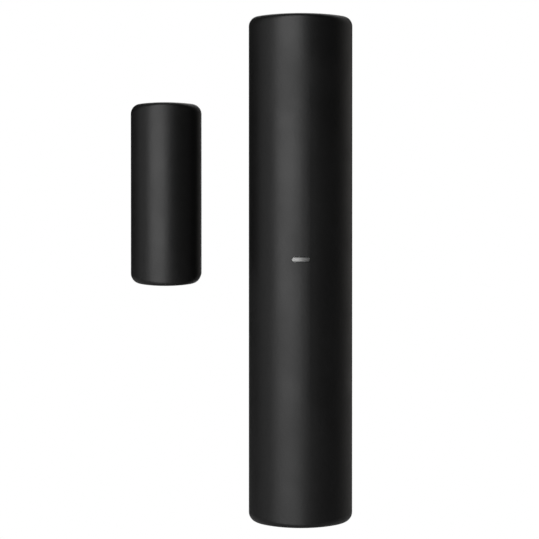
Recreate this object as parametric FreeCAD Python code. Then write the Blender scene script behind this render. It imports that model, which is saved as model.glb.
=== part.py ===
"""Wireless door contact sensor: a slim D-section detector and its magnet, each on a slide-on wall bracket.

X runs to the viewer's right, Y into the wall, Z up. The wall plane is Y = 0 and the object stands in front
of it, at Y < 0. The origin lies on the detector bracket's back face. All sizes are in millimetres.
"""

import FreeCAD
import Part

import math
import os

from FreeCAD import Vector

# ---------------------------------------------------------------------------- driving sizes: detector
body_width = 20.0
body_length = 98.6
wall = 1.2
end_wall = 1.8
end_crown = 0.6  # how much each end rises from its sides to its middle
side_corner = 2.0  # edge radius of the ends at the sides
front_rim = 0.7  # edge radius of the ends at the middle of the front
skirt_gap = 0.4  # from the housing's rear edge to the wall
back_edge = 0.3

# ---------------------------------------------------------------------------- driving sizes: bracket
bracket_thickness = 2.0
bracket_width = 15.2
bracket_length = 74.0
bracket_rim = 0.6  # what is left above the tab's upper slot
bracket_corner = 2.0
slide_gap = 0.2  # between a bracket's face and the rear cover that slides on it
catch_length = 5.0  # length of a bracket wing and of the housing lug that hooks behind it
catch_clear = 1.0  # how far past the wings the lugs slide before they are free
catch_heights = (-16.0, 16.0)
wing_thickness = 0.7
wing_side_gap = 0.3
screw_hole_radius = 1.75
screw_head_radius = 3.2
screw_spacing = 34.0
screw_to_tab = 8.0  # from the upper wall screw up to the tab
tape_thickness = 0.8
tape_width = 11.0
tape_length = 17.0
tape_to_screw = 5.0  # from the lower wall screw up to the tape
perforation_width = 0.8
bridge_length = 1.2
bridge_inset = 3.0  # from the tab's ends to the middle of each bridge
tab_width = 9.2
tab_above = 8.6  # from the tamper plunger to the tab's top
tab_below = 10.0  # from the tamper plunger to the tab's bottom
tab_screw_drop = 6.4  # from the tamper plunger to the tab's screw
tab_screw_radius = 1.6
tab_screw_head_radius = 2.8
ramp_width = 4.4
ramp_slope = 0.15  # rise of the tamper plunger for each millimetre the detector slides
ramp_lead = 1.6
finger_width = 4.0
finger_length = 6.4
finger_slot = 0.9
finger_rise = 1.0  # from the bracket's lower edge to the finger's tip
finger_thickness = 0.9
pip_height = 0.15
pip_radius = 1.1
pip_inset = 2.0  # from the finger's tip to its pip

# ---------------------------------------------------------------------------- driving sizes: rear cover
cover_thickness = 1.5
cover_gap = 0.1  # between the rear cover and the housing's walls
ledge_width = 0.8
ledge_depth = 1.3
tongue_width = 8.0
tongue_length = 0.9
tongue_thickness = 0.8
stop_height = 1.3
stop_length = 1.2
stop_width = 8.0
stop_gap = 0.1
label_thickness = 0.12
label_width = 12.0
label_length = 5.6
label_inset = 0.3  # from the housing's inner end to the label

# ---------------------------------------------------------------------------- driving sizes: inside
battery_radius = 8.5
battery_length = 34.5
battery_gap = 0.3
battery_nub_radius = 3.2
battery_nub_length = 1.3
battery_wrap = 0.12
sleeve_end = 0.9  # how far the sleeve stops short of the can's ends
can_sheet = 0.3
can_shoulder = 0.8
cradle_wall = 1.0
cradle_gap = 0.15
contact_thickness = 0.3
contact_half = 5.5
contact_corner = 1.2
strip_width = 1.6
strip_x = 7.0  # middle of each contact strip, left and right
strip_reach = 2.6  # how far each strip lies on the board
spring_length = 2.8
spring_wire = 0.6
spring_turns = 2.5
spring_base_radius = 4.4
spring_tip_radius = 2.2
board_thickness = 1.0
board_depth = 4.3  # from the rear cover's inner face to the board
board_end_gap = 0.4
shelf_overlap = 0.6
shelf_depth = 2.0
fit_gap = 0.1  # between pieces that drop into each other
post_radius = 2.5
web_thickness = 0.8
boss_radius = 2.2
cover_screw_radius = 1.1
cover_screw_head_radius = 1.9
cover_screw_head = 1.0
cover_screw_length = 10.0
screw_clearance = 0.15  # around a screw's thread where it only passes through
top_screw_inset = 6.1  # from the housing's top

# heights above the board's lower edge
lower_screw_rise = 3.1
light_rise = 9.3

# distances down from the board's upper edge
reed_drop = 32.5
power_drop = 29.1
tamper_drop = 19.1
socket_drop = 11.5
antenna_drop = 20.1  # to the coil's lower end
upper_shelf_drop = 21.1
chip_place = (2.6, 33.9)  # each place is x and the distance down from the board's upper edge
shield_place = (-1.4, 15.5)
reservoir_place = (2.9, 25.5)
crystal_place = (-2.4, 34.1)
shelf_to_reed = 1.7  # from the lower shelf's top up to the reed switch's foot
# x, distance down, width, length and thickness of each small part on the two faces of the board
front_parts = (
    (-3.0, 27.5, 1.6, 0.8, 0.6), (-3.0, 25.7, 1.6, 0.8, 0.6), (-3.0, 23.9, 1.6, 0.8, 0.6),
    (3.2, 41.3, 0.8, 1.6, 0.6), (5.0, 41.3, 0.8, 1.6, 0.6), (-3.2, 40.7, 2.0, 1.3, 0.9),
    (-3.6, 7.7, 1.0, 0.6, 0.5), (-5.2, 7.7, 1.0, 0.6, 0.5), (-5.0, 4.5, 2.0, 1.3, 0.9),
)
back_parts = (
    (-5.2, 17.1, 1.6, 0.8, 0.6), (5.2, 17.1, 1.6, 0.8, 0.6), (-4.6, 35.1, 3.0, 1.8, 1.1),
    (4.6, 36.1, 3.9, 4.9, 1.4), (4.4, 24.5, 1.6, 0.8, 0.6), (4.4, 22.9, 1.6, 0.8, 0.6),
    (-4.8, 25.1, 1.3, 2.0, 0.9),
)
# x, height above the board's lower edge, width, length and thickness of the parts beside the lower screw
screw_side_parts = ((4.8, 2.7, 2.8, 1.7, 1.2), (-4.8, 2.5, 1.6, 1.6, 0.8), (-5.8, 4.9, 1.4, 0.8, 0.6))

# pieces on the board
coil_steps = 16  # points on each turn of a coil's curve
light_width = 3.4
light_thickness = 1.0
light_gap = 0.05
light_proud = 0.05
light_flange = 0.7
light_flange_gap = 0.4  # between the front wall and the light pipe's flange
tamper_radius = 1.4
tamper_clearance = 0.14
tamper_body = 5.0
tamper_body_height = 1.6
tamper_spring_wire = 0.25
tamper_spring_turns = 2.5
tamper_stem_radius = 0.8
tamper_stem_reach = 0.8  # how far the stem goes into the switch
collar_thickness = 0.4
collar_radius = 2.1
power_radius = 1.5
power_body = 4.4
power_body_height = 1.4
power_dome_height = 0.5
power_sunk = 0.3  # from the rear cover's outer face in to the button
flange_thickness = 0.5
flange_width = 0.6
power_travel = 0.35
moving_gap = 0.1  # around a plunger or button in its hole
rest_gap = 0.02  # between a moving piece and the stop that it reaches
reed_radius = 1.1
reed_length = 13.0
reed_x = -6.4
reed_lead_radius = 0.25
reed_bore = 0.8
lead_clearance = 0.05

reed_foot = 9.0  # from the reed switch's middle to each foot
blade_width = 0.9
blade_thickness = 0.18
blade_overlap = 1.8
blade_offset = 0.12  # of each blade from the tube's axis, which leaves the contact gap
socket_width = 6.6
socket_length = 5.2
socket_mouth = 5.2
terminal_pitch = 3.0
terminal_radius = 0.8
terminal_floor = 1.2
socket_mouth_height = 3.2
led_height = 0.7
chip_size = 5.2
chip_thickness = 1.0
chip_leads = 6  # on each side
chip_pitch = 0.8
lead_reach = 0.7
lead_width = 0.3
lead_height = 0.35
shield_size = (8.6, 10.6)
shield_height = 2.2
shield_sheet = 0.25
shield_vents = 5
shield_vent_pitch = 1.5
crystal_size = (1.8, 4.6, 1.3)
antenna_x = 5.0
antenna_radius = 1.2
antenna_wire = 0.4
antenna_pitch = 1.3
antenna_turns = 12
reservoir_radius = 2.3
reservoir_height = 5.6
reservoir_base = 0.6

# ---------------------------------------------------------------------------- driving sizes: magnet
magnet_x = -26.1  # middle of the magnet unit, left of the detector
magnet_width = 13.6
magnet_length = 35.4
magnet_depth = 15.7
magnet_wall = 1.2
magnet_end_wall = 1.5
magnet_crown = 0.5
magnet_bracket_thickness = 1.6
magnet_bracket_width = 9.0
magnet_bracket_top = 13.0
magnet_bracket_bottom = -11.5
magnet_bracket_corner = 1.5
magnet_cover_thickness = 1.2
magnet_catch_length = 3.6
magnet_catch_heights = (-5.4, 5.4)
magnet_wing_thickness = 0.5
magnet_screw_radius = 1.6
magnet_screw_head_radius = 2.9
magnet_screw_heights = (-7.5, 9.0)
magnet_tape_width = 6.4
magnet_tape_spans = ((-4.0, -0.8), (0.8, 5.4))
bar_width = 7.0
bar_depth = 5.0
bar_length = 25.0
bar_front_gap = 4.4  # from the magnet housing's front to the bar
bar_rib = 1.0
bar_rib_offset = 8.0
magnet_ledge_width = 0.7
magnet_ledge_depth = 1.0
magnet_post_radius = 1.7
magnet_screw_offset = -14.3
magnet_cover_screw_radius = 0.85
magnet_cover_head_radius = 1.4
magnet_cover_head = 0.7
magnet_cover_screw_length = 6.0
magnet_stop_width = 5.0
magnet_stop_height = 1.1
magnet_stop_length = 1.0
magnet_tongue_width = 4.0
magnet_tongue_thickness = 0.7
magnet_tongue_length = 0.7
foam_length = 18.0

# ---------------------------------------------------------------------------- places that follow
half = body_width / 2
inner_half = half - wall
cover_out_y = -(bracket_thickness + slide_gap)
cover_in_y = cover_out_y - cover_thickness
axis_y = cover_in_y - battery_gap - battery_radius  # axis of the round front, and of the battery
front_y = axis_y - half
inner_end = body_length / 2 - end_wall
board_back_y = cover_in_y - board_depth
board_front_y = board_back_y - board_thickness
board_half = inner_half - ledge_width - 2 * fit_gap
cradle_bottom = -inner_end + fit_gap
negative_z = cradle_bottom + cradle_wall
battery_bottom = negative_z + contact_thickness + spring_length
battery_top = battery_bottom + battery_length
positive_z = battery_top
cradle_top = positive_z + contact_thickness + cradle_wall
board_bottom = cradle_top + board_end_gap
board_top = inner_end - board_end_gap
top_screw_z = body_length / 2 - top_screw_inset
lower_screw_z = board_bottom + lower_screw_rise
light_height = board_bottom + light_rise
reed_height = board_top - reed_drop
power_height = board_top - power_drop
tamper_height = board_top - tamper_drop
socket_height = board_top - socket_drop
slide_travel = catch_length + catch_clear
tab_top = tamper_height + tab_above
tab_bottom = tamper_height - tab_below
bracket_top = tab_top + perforation_width + bracket_rim
bracket_bottom = bracket_top - bracket_length
screw_heights = (tab_bottom - screw_to_tab - screw_spacing, tab_bottom - screw_to_tab)
tape_bottom = screw_heights[0] + tape_to_screw
finger_bottom = bracket_bottom + finger_rise
finger_top = finger_bottom + finger_length
pip_z = finger_bottom + pip_inset
cover_screw_heights = (lower_screw_z, top_screw_z)
tamper_tip_y = -bracket_thickness + ramp_slope * ramp_lead - tamper_clearance
tamper_travel = ramp_slope * slide_travel
collar_y = cover_in_y - tamper_travel - rest_gap - collar_thickness
reed_y = board_front_y - reed_radius - 2 * fit_gap
magnet_z = reed_height  # the magnet lines up with the reed switch
magnet_half = magnet_width / 2
magnet_inner_half = magnet_half - magnet_wall
magnet_axis_y = -magnet_depth + magnet_half
magnet_cover_out_y = -(magnet_bracket_thickness + slide_gap)
magnet_cover_in_y = magnet_cover_out_y - magnet_cover_thickness
magnet_inner_end = magnet_length / 2 - magnet_end_wall
bar_front_y = -magnet_depth + bar_front_gap
bar_back_y = bar_front_y + bar_depth
magnet_screw_z = magnet_z + magnet_screw_offset
led_front_y = board_front_y - led_height

nodes = {}


# ---------------------------------------------------------------------------- shape helpers
def block(x0, x1, y0, y1, z0, z1):
    """A box between two corners, given in any order."""
    low = Vector(min(x0, x1), min(y0, y1), min(z0, z1))
    return Part.makeBox(abs(x1 - x0), abs(y1 - y0), abs(z1 - z0), low)


def round_y(radius, x, z, y0, y1):
    """A cylinder along Y."""
    return Part.makeCylinder(radius, abs(y1 - y0), Vector(x, min(y0, y1), z), Vector(0, 1, 0))


def round_z(radius, x, y, z0, z1):
    """A cylinder along Z."""
    return Part.makeCylinder(radius, abs(z1 - z0), Vector(x, y, min(z0, z1)), Vector(0, 0, 1))


def cone_y(radius_0, radius_1, x, z, y0, y1):
    """A cone along Y, radius_0 at y0 and radius_1 at y1, for y1 above y0."""
    return Part.makeCone(radius_0, radius_1, y1 - y0, Vector(x, y0, z), Vector(0, 1, 0))


def edges_where(shape, test):
    """The edges of a shape whose bounding box passes a test."""
    return [edge for edge in shape.Edges if test(edge.BoundBox)]


def upright(box, reach=1e-3):
    """Whether an edge's box is one line along Y."""
    return box.XLength < reach and box.ZLength < reach and box.YLength > reach


def rounded_plate(x0, x1, y0, y1, z0, z1, radius):
    """A plate square to Y with rounded corners."""
    plate = block(x0, x1, y0, y1, z0, z1)
    return plate.makeFillet(radius, edges_where(plate, upright))


def slot_y(width, height, x, z, y0, y1):
    """A solid along Y with the outline of a slot with round ends, longest along X."""
    radius = height / 2
    reach = width / 2 - radius
    middle = block(x - reach, x + reach, y0, y1, z - radius, z + radius)
    ends = [round_y(radius, x + side * reach, z, y0, y1) for side in (-1, 1)]
    return middle.fuse(ends).removeSplitter()


def coil(wire, pitch, turns, radius, centre, axis, tip_radius=None):
    """A coil spring that starts at centre and climbs along axis, narrowing to tip_radius if that is given."""
    tip_radius = tip_radius or radius
    steps = int(turns * coil_steps)
    points = []
    for step in range(steps + 1):
        share = step / steps
        reach = radius + (tip_radius - radius) * share
        angle = 2 * math.pi * turns * share
        points.append(Vector(reach * math.cos(angle), reach * math.sin(angle), pitch * turns * share))
    path = Part.BSplineCurve()
    path.interpolate(points)
    path_edge = path.toShape()
    forward = path_edge.tangentAt(path_edge.FirstParameter)
    section = Part.Wire([Part.makeCircle(wire / 2, points[0], forward)])
    solid = Part.Wire([path_edge]).makePipeShell([section], True, True)
    solid.Placement = FreeCAD.Placement(centre, FreeCAD.Rotation(Vector(0, 0, 1), axis))
    return solid


# ---------------------------------------------------------------------------- D-section shells
def d_face(radius, centre_y, back_y, z, x=0.0):
    """A D-section: a half-round front of the given radius, straight sides and a flat back."""
    diagonal = radius * math.sqrt(0.5)
    left = Vector(x - radius, centre_y, z)
    front = Vector(x, centre_y - radius, z)
    right = Vector(x + radius, centre_y, z)
    back_right = Vector(x + radius, back_y, z)
    back_left = Vector(x - radius, back_y, z)
    edges = [
        Part.Arc(left, Vector(x - diagonal, centre_y - diagonal, z), front).toShape(),
        Part.Arc(front, Vector(x + diagonal, centre_y - diagonal, z), right).toShape(),
        Part.LineSegment(right, back_right).toShape(),
        Part.LineSegment(back_right, back_left).toShape(),
        Part.LineSegment(back_left, left).toShape(),
    ]
    return Part.Face(Part.Wire(edges))


def d_prism(radius, centre_y, back_y, z0, z1, x=0.0):
    """A straight bar of D-section from z0 to z1."""
    return d_face(radius, centre_y, back_y, z0, x).extrude(Vector(0, 0, z1 - z0))


def crowned_slab(radius, length, crown, x, z):
    """A slab along Y whose ends are shallow arcs, rising by crown from x -/+ radius to the middle."""
    arc_radius = (radius**2 + crown**2) / (2 * crown)
    reach = radius + 1.0
    drop = arc_radius - math.sqrt(arc_radius**2 - reach**2)
    ends = length / 2
    depth = 100.0
    signs = ((-1, 1), (1, 1), (1, -1), (-1, -1))
    corners = [Vector(x + sx * reach, -depth, z + sz * (ends - drop)) for sx, sz in signs]
    top = Part.Arc(corners[0], Vector(x, -depth, z + ends), corners[1]).toShape()
    right = Part.LineSegment(corners[1], corners[2]).toShape()
    bottom = Part.Arc(corners[2], Vector(x, -depth, z - ends), corners[3]).toShape()
    left = Part.LineSegment(corners[3], corners[0]).toShape()
    return Part.Face(Part.Wire([top, right, bottom, left])).extrude(Vector(0, 2 * depth, 0))


def soften_rims(solid, radius, centre_y, side_radius, rim_radius, x):
    """Rounds both end rims: side_radius along the sides, easing to rim_radius at the middle of the front."""
    radii = []
    for number, edge in enumerate(solid.Edges, 1):
        box = edge.BoundBox
        if box.ZLength > radius or box.YLength < 1e-3:
            continue
        first, last = (edge.valueAt(p) for p in (edge.FirstParameter, edge.LastParameter))
        if box.YMin > centre_y - 1e-3:
            radii.append((number, side_radius, side_radius))
        elif abs(first.x - x) < abs(last.x - x):
            radii.append((number, rim_radius, side_radius))
        else:
            radii.append((number, side_radius, rim_radius))
    document = FreeCAD.newDocument("rims")
    base = document.addObject("Part::Feature", "base")
    base.Shape = solid
    rounded = document.addObject("Part::Fillet", "rounded")
    rounded.Base = base
    rounded.Edges = radii
    document.recompute()
    shape = rounded.Shape.copy()
    FreeCAD.closeDocument(document.Name)
    return shape.Solids[0]


def d_shell(radius, centre_y, length, crown, side_wall, end, x=0.0, z=0.0):
    """An empty housing, open to the rear."""
    outer = d_prism(radius, centre_y, -skirt_gap, z - length / 2, z + length / 2, x)
    outer = outer.common(crowned_slab(radius, length, crown, x, z))
    outer = soften_rims(outer.Solids[0], radius, centre_y, side_corner, front_rim, x)
    reach = length / 2 - end
    inner = d_prism(radius - side_wall, centre_y, skirt_gap, z - reach, z + reach, x)
    return outer.cut(inner)


def add(name, *solids):
    """Keeps a node made of one or more solids."""
    nodes[name] = list(solids)


def mirrored(make):
    """The same piece on the left (-1) and on the right (1)."""
    return [make(side) for side in (-1, 1)]


# ---------------------------------------------------------------------------- detector bracket
def screw_seat(x, z, hole_radius, head_radius, thickness):
    """The cut for a countersunk wall screw whose head sits at the bracket's front."""
    sink = head_radius - hole_radius
    cone = cone_y(head_radius, hole_radius, x, z, -thickness, -thickness + sink)
    return round_y(hole_radius, x, z, -thickness - 1, 1).fuse(cone)


def make_frame_bracket():
    """The plate screwed or taped to the door frame, with a break-away tamper tab and a springy finger."""
    plate_half = bracket_width / 2
    wing_half = inner_half - wing_side_gap
    thick = bracket_thickness
    plate = rounded_plate(-plate_half, plate_half, -thick, 0, bracket_bottom, bracket_top, bracket_corner)
    wings = []
    for z in catch_heights:
        low, high = z - catch_length / 2, z + catch_length / 2
        wings.append(rounded_plate(-wing_half, wing_half, -thick, -thick + wing_thickness, low, high, 0.3))
    plate = plate.fuse(wings)
    cuts = [screw_seat(0, z, screw_hole_radius, screw_head_radius, thick) for z in screw_heights]
    tape_half = tape_width / 2
    cuts.append(block(-tape_half, tape_half, -tape_thickness, 1, tape_bottom, tape_bottom + tape_length))

    # the tab is cut free all round except at four short bridges
    tab_half = tab_width / 2
    gap = perforation_width
    ring_half = tab_half + gap
    outer = rounded_plate(-ring_half, ring_half, -thick - 1, 1, tab_bottom - gap, tab_top + gap, 1.2)
    ring = outer.cut(rounded_plate(-tab_half, tab_half, -thick - 2, 2, tab_bottom, tab_top, 0.8))
    for z in (tab_bottom + bridge_inset, tab_top - bridge_inset):
        ring = ring.cut(block(-half, half, -thick - 2, 2, z - bridge_length / 2, z + bridge_length / 2))
    cuts.append(ring)
    tab_screw_height = tamper_height - tab_screw_drop
    cuts.append(screw_seat(0, tab_screw_height, tab_screw_radius, tab_screw_head_radius, thick))

    # the ramp that lets the tamper plunger out as the detector slides up
    ramp_start = tamper_height - ramp_lead
    ramp_end = tamper_height + slide_travel + tamper_radius + 0.4
    depth = ramp_slope * (ramp_end - ramp_start)
    profile = [
        Vector(-ramp_width / 2, -thick, ramp_start),
        Vector(-ramp_width / 2, -thick + depth, ramp_end),
        Vector(-ramp_width / 2, -thick - 1, ramp_end),
        Vector(-ramp_width / 2, -thick - 1, ramp_start),
    ]
    ramp = Part.Face(Part.makePolygon(profile + profile[:1])).extrude(Vector(ramp_width, 0, 0))
    cuts.append(ramp)

    # the finger: two slots and an open end, with a rounded pip that rubs on the rear cover
    finger_half = finger_width / 2
    slots = finger_half + finger_slot
    low = finger_bottom - finger_slot
    finger_back = -thick + finger_thickness
    finger = block(-finger_half, finger_half, -thick - 1, finger_back, finger_bottom, finger_top + 1)
    cuts.append(block(-slots, slots, -thick - 1, 1, low, finger_top).cut(finger))
    pip = cone_y(pip_radius * 0.6, pip_radius, 0, pip_z, -thick - pip_height, -thick)
    return plate.cut(cuts).fuse(pip).removeSplitter()


add("frame_bracket", make_frame_bracket())
tape_inset = fit_gap / 2
add("mounting_tape", block(-tape_width / 2 + tape_inset, tape_width / 2 - tape_inset, -tape_thickness, 0,
                           tape_bottom + tape_inset, tape_bottom + tape_length - tape_inset))


# ---------------------------------------------------------------------------- detector housing
def catch_lug(side, inner, lug_inner, z, length, lug_front, x=0.0):
    """A lug on the housing's side wall that hooks behind a bracket wing."""
    ends = (z - length / 2, z + length / 2)
    return block(x + side * lug_inner, x + side * (inner + 0.2), lug_front, -skirt_gap, *ends)


def make_front_housing():
    """The D-section front with its ledges, posts, board shelves and lugs."""
    shell = d_shell(half, axis_y, body_length, end_crown, wall, end_wall)
    room = d_prism(inner_half + 0.2, axis_y, skirt_gap, -inner_end - 0.2, inner_end + 0.2)
    ribs = []
    ledge_front = cover_in_y - ledge_depth
    ledge_inner = inner_half - ledge_width
    shelf_front = board_front_y - shelf_depth
    shelf_inner = board_half - shelf_overlap
    shelves = (
        (board_bottom + shelf_overlap, reed_height - reed_foot - shelf_to_reed),
        (board_top - upper_shelf_drop, board_top - shelf_overlap),
    )
    for side in (-1, 1):
        ribs.append(block(side * ledge_inner, side * half, ledge_front, cover_in_y, -half * 5, half * 5))
        for low, high in shelves:
            ribs.append(block(side * shelf_inner, side * half, shelf_front, board_front_y, low, high))
        for z in catch_heights:
            lug_inner = bracket_width / 2 + wing_side_gap
            lug_front = -(bracket_thickness - wing_thickness - slide_gap)
            ribs.append(catch_lug(side, inner_half, lug_inner, z, catch_length, lug_front))
    ribs.append(block(-half, half, ledge_front, cover_in_y, inner_end - ledge_width, inner_end + 1))
    web = web_thickness / 2
    for z in cover_screw_heights:
        post = round_y(post_radius, 0, z, front_y, board_front_y)
        ribs.append(post.fuse(block(-half, half, front_y, shelf_front, z - web, z + web)))
    ribs = [rib.common(room) for rib in ribs]
    shell = shell.fuse(ribs).removeSplitter()
    around = 2 * light_gap
    window_y = (front_y - 1, front_y + 2 * wall)
    cuts = [slot_y(light_width + around, light_thickness + around, 0, light_height, *window_y)]
    pilot_end = cover_out_y - cover_screw_length - 3 * fit_gap
    for z in cover_screw_heights:
        cuts.append(round_y(cover_screw_radius + rest_gap, 0, z, pilot_end, board_front_y + 1))
    around = fit_gap / 2
    slot_half = tongue_width / 2 + around
    tongue_y = (cover_in_y - around, cover_in_y + tongue_thickness + around)
    tongue_end = -inner_end - tongue_length - around
    cuts.append(block(-slot_half, slot_half, *tongue_y, tongue_end, -inner_end + 1))
    return shell.cut(cuts).removeSplitter()


add("front_housing", make_front_housing())


def make_rear_cover():
    """The flat back, recessed into the housing, with two screw bosses that clamp the board."""
    edge_x = inner_half - cover_gap
    edge_z = inner_end - cover_gap
    cover = rounded_plate(-edge_x, edge_x, cover_in_y, cover_out_y, -edge_z, edge_z, 0.4)
    pieces = [round_y(boss_radius, 0, z, board_back_y, cover_out_y - 0.2) for z in cover_screw_heights]
    tongue_half = tongue_width / 2
    tongue_y = (cover_in_y, cover_in_y + tongue_thickness)
    pieces.append(block(-tongue_half, tongue_half, *tongue_y, -inner_end - tongue_length, -edge_z + 1))
    stop_half = stop_width / 2
    stop_z = bracket_top + stop_gap
    stop_y = (cover_out_y - 0.2, cover_out_y + stop_height)
    pieces.append(block(-stop_half, stop_half, *stop_y, stop_z, stop_z + stop_length))
    cover = cover.fuse(pieces)
    cuts = []
    for z in cover_screw_heights:
        cuts.append(round_y(cover_screw_radius + screw_clearance, 0, z, board_back_y - 1, 0))
        cuts.append(round_y(cover_screw_head_radius + fit_gap, 0, z, cover_out_y - cover_screw_head, 0))
    cuts.append(round_y(tamper_radius + moving_gap, 0, tamper_height, cover_in_y - 1, 0))
    cuts.append(round_y(power_radius + moving_gap, 0, power_height, cover_in_y - 1, 0))
    cuts.append(block(-socket_mouth / 2, socket_mouth / 2, cover_in_y - 1, 0,
                      socket_height - socket_mouth_height / 2, socket_height + socket_mouth_height / 2))
    cuts.append(cone_y(pip_radius * 0.7, pip_radius * 1.2, 0, pip_z, cover_out_y - 0.2, cover_out_y + 0.01))
    return cover.cut(cuts).removeSplitter()


add("rear_cover", make_rear_cover())


def make_screw(x, z, head_y, head_radius, head_height, radius, length, pitch=0.8):
    """A cross-recess screw driven in from the rear, with a plain ridge for each turn of its thread."""
    core = radius * 0.72
    tip_y = head_y - length
    bevel = 0.2
    points = [
        Vector(0, head_y, 0),
        Vector(head_radius - bevel, head_y, 0),
        Vector(head_radius, head_y - bevel, 0),
        Vector(head_radius, head_y - head_height, 0),
        Vector(core, head_y - head_height, 0),
    ]
    turns = int((length - head_height - radius) / pitch) - 1
    y = head_y - head_height - pitch
    for _ in range(turns):
        points += [Vector(core, y, 0), Vector(radius, y - pitch * 0.35, 0), Vector(core, y - pitch * 0.7, 0)]
        y -= pitch
    points += [Vector(core, tip_y + radius, 0), Vector(0, tip_y, 0)]
    face = Part.Face(Part.makePolygon(points + points[:1]))
    solid = face.revolve(Vector(0, 0, 0), Vector(0, 1, 0), 360)
    reach = head_radius * 0.62
    arm = head_radius * 0.13
    deep = head_y - head_height * 0.7
    solid = solid.cut(block(-reach, reach, deep, head_y + 1, -arm, arm))
    solid = solid.cut(block(-arm, arm, deep, head_y + 1, -reach, reach))
    solid.translate(Vector(x, 0, z))
    return solid


cover_screw_sizes = (cover_screw_head_radius, cover_screw_head, cover_screw_radius, cover_screw_length)
add("cover_screws", *[make_screw(0, z, cover_out_y, *cover_screw_sizes) for z in cover_screw_heights])
label_half = label_width / 2
label_bottom = -inner_end + label_inset
add("rear_label", rounded_plate(-label_half, label_half, cover_out_y, cover_out_y + label_thickness,
                                label_bottom, label_bottom + label_length, 0.6))


def make_light_pipe():
    """The clear pipe from the status light to its oval window in the front."""
    flange_y = front_y + wall + light_flange_gap
    stem_y = flange_y + light_flange
    window = slot_y(light_width, light_thickness, 0, light_height, front_y - 1, flange_y)
    window = window.common(round_z(half + light_proud, 0, axis_y, light_height - 5, light_height + 5))
    flange = slot_y(light_width + 1.4, light_thickness + 1.2, 0, light_height, flange_y, stem_y)
    stem = slot_y(light_width - 0.8, light_thickness + 0.4, 0, light_height, stem_y, led_front_y - fit_gap)
    return window.fuse([flange, stem]).removeSplitter()


add("light_pipe", make_light_pipe())


# ---------------------------------------------------------------------------- circuit board
def make_board():
    """The board, with holes for the two cover screws and for the reed switch's leads."""
    board = rounded_plate(-board_half, board_half, board_front_y, board_back_y, board_bottom, board_top, 0.8)
    through = (board_front_y - 1, board_back_y + 1)
    cuts = [round_y(cover_screw_radius + screw_clearance, 0, z, *through) for z in cover_screw_heights]
    for end in (-1, 1):
        z = reed_height + end * reed_foot
        cuts.append(round_y(reed_lead_radius + lead_clearance, reed_x, z, *through))
    return board.cut(cuts)


def on_board(width, length, y, thickness, x, z):
    """A block centred at x and z that stands out of the board from y by thickness, which may be negative."""
    return block(x - width / 2, x + width / 2, y, y + thickness, z - length / 2, z + length / 2)


def on_front(width, length, thickness, x, z):
    """A block on the board's front face."""
    return on_board(width, length, board_front_y, -thickness, x, z)


def on_back(width, length, thickness, x, z):
    """A block on the board's rear face."""
    return on_board(width, length, board_back_y, thickness, x, z)


add("circuit_board", make_board())


def make_status_led():
    """The status light: a flat base with a smaller lens on it."""
    base = on_front(1.6, 0.8, led_height / 2, 0, light_height)
    return base.fuse(on_front(1.1, 0.8, led_height, 0, light_height)).removeSplitter()


add("status_led", make_status_led())


def make_microcontroller():
    """A square chip with a row of flat leads on each side and a dot at its first corner."""
    x, drop = chip_place
    z = board_top - drop
    body = on_front(chip_size, chip_size, chip_thickness, x, z)
    dot = chip_size * 0.35
    top_y = board_front_y - chip_thickness
    leads = []
    for number in range(chip_leads):
        offset = (number - (chip_leads - 1) / 2) * chip_pitch
        for side in (-1, 1):
            edge = side * (chip_size / 2 + lead_reach / 2)
            leads.append(on_front(lead_reach, lead_width, lead_height, x + edge, z + offset))
            leads.append(on_front(lead_width, lead_reach, lead_height, x + offset, z + edge))
    body = body.fuse(leads).removeSplitter()
    return body.cut(round_y(0.3, x - dot, z + dot, top_y - 0.1, top_y + 0.1))


add("microcontroller", make_microcontroller())


def make_radio_shield():
    """The pressed metal can over the radio, open underneath, with a row of vent holes."""
    x, drop = shield_place
    z = board_top - drop
    width, length = shield_size
    can = on_front(width, length, shield_height, x, z)
    can = can.makeFillet(0.4, edges_where(can, upright))
    top_y = board_front_y - shield_height
    sheet = shield_sheet
    cuts = [on_front(width - 2 * sheet, length - 2 * sheet, shield_height - sheet, x, z)]
    vent_z = z + length / 3
    for number in range(shield_vents):
        offset = (number - (shield_vents - 1) / 2) * shield_vent_pitch
        cuts.append(round_y(0.35, x + offset, vent_z, top_y - 1, top_y + 1))
    return can.cut(cuts)


def make_radio_chips():
    """The radio chip and its crystal, under the shield."""
    x, drop = shield_place
    z = board_top - drop
    return [on_front(4.0, 4.0, 0.8, x, z - 1.0), on_front(1.6, 1.2, 0.7, x - 1.6, z + 2.6)]


add("radio_shield", make_radio_shield())
add("radio_chip", *make_radio_chips())


def make_antenna():
    """The coil antenna, lying on the board along its right side."""
    y = board_front_y - antenna_radius - antenna_wire / 2 - fit_gap / 2
    start = Vector(antenna_x, y, board_top - antenna_drop)
    return coil(antenna_wire, antenna_pitch, antenna_turns, antenna_radius, start, Vector(0, 0, 1))


add("antenna_coil", make_antenna())


def make_reed_glass():
    """The sealed glass tube of the reed switch, drawn in to its leads at both ends."""
    reach = reed_length / 2
    outer = round_z(reed_radius, reed_x, reed_y, reed_height - reach, reed_height + reach)
    outer = outer.makeFillet(reed_radius * 0.6, edges_where(outer, lambda box: box.ZLength < 1e-3))
    bore = round_z(reed_bore, reed_x, reed_y, reed_height - reach + 1.3, reed_height + reach - 1.3)
    leads = round_z(reed_lead_radius, reed_x, reed_y, reed_height - reach - 1, reed_height + reach + 1)
    return outer.cut([bore, leads])


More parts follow.
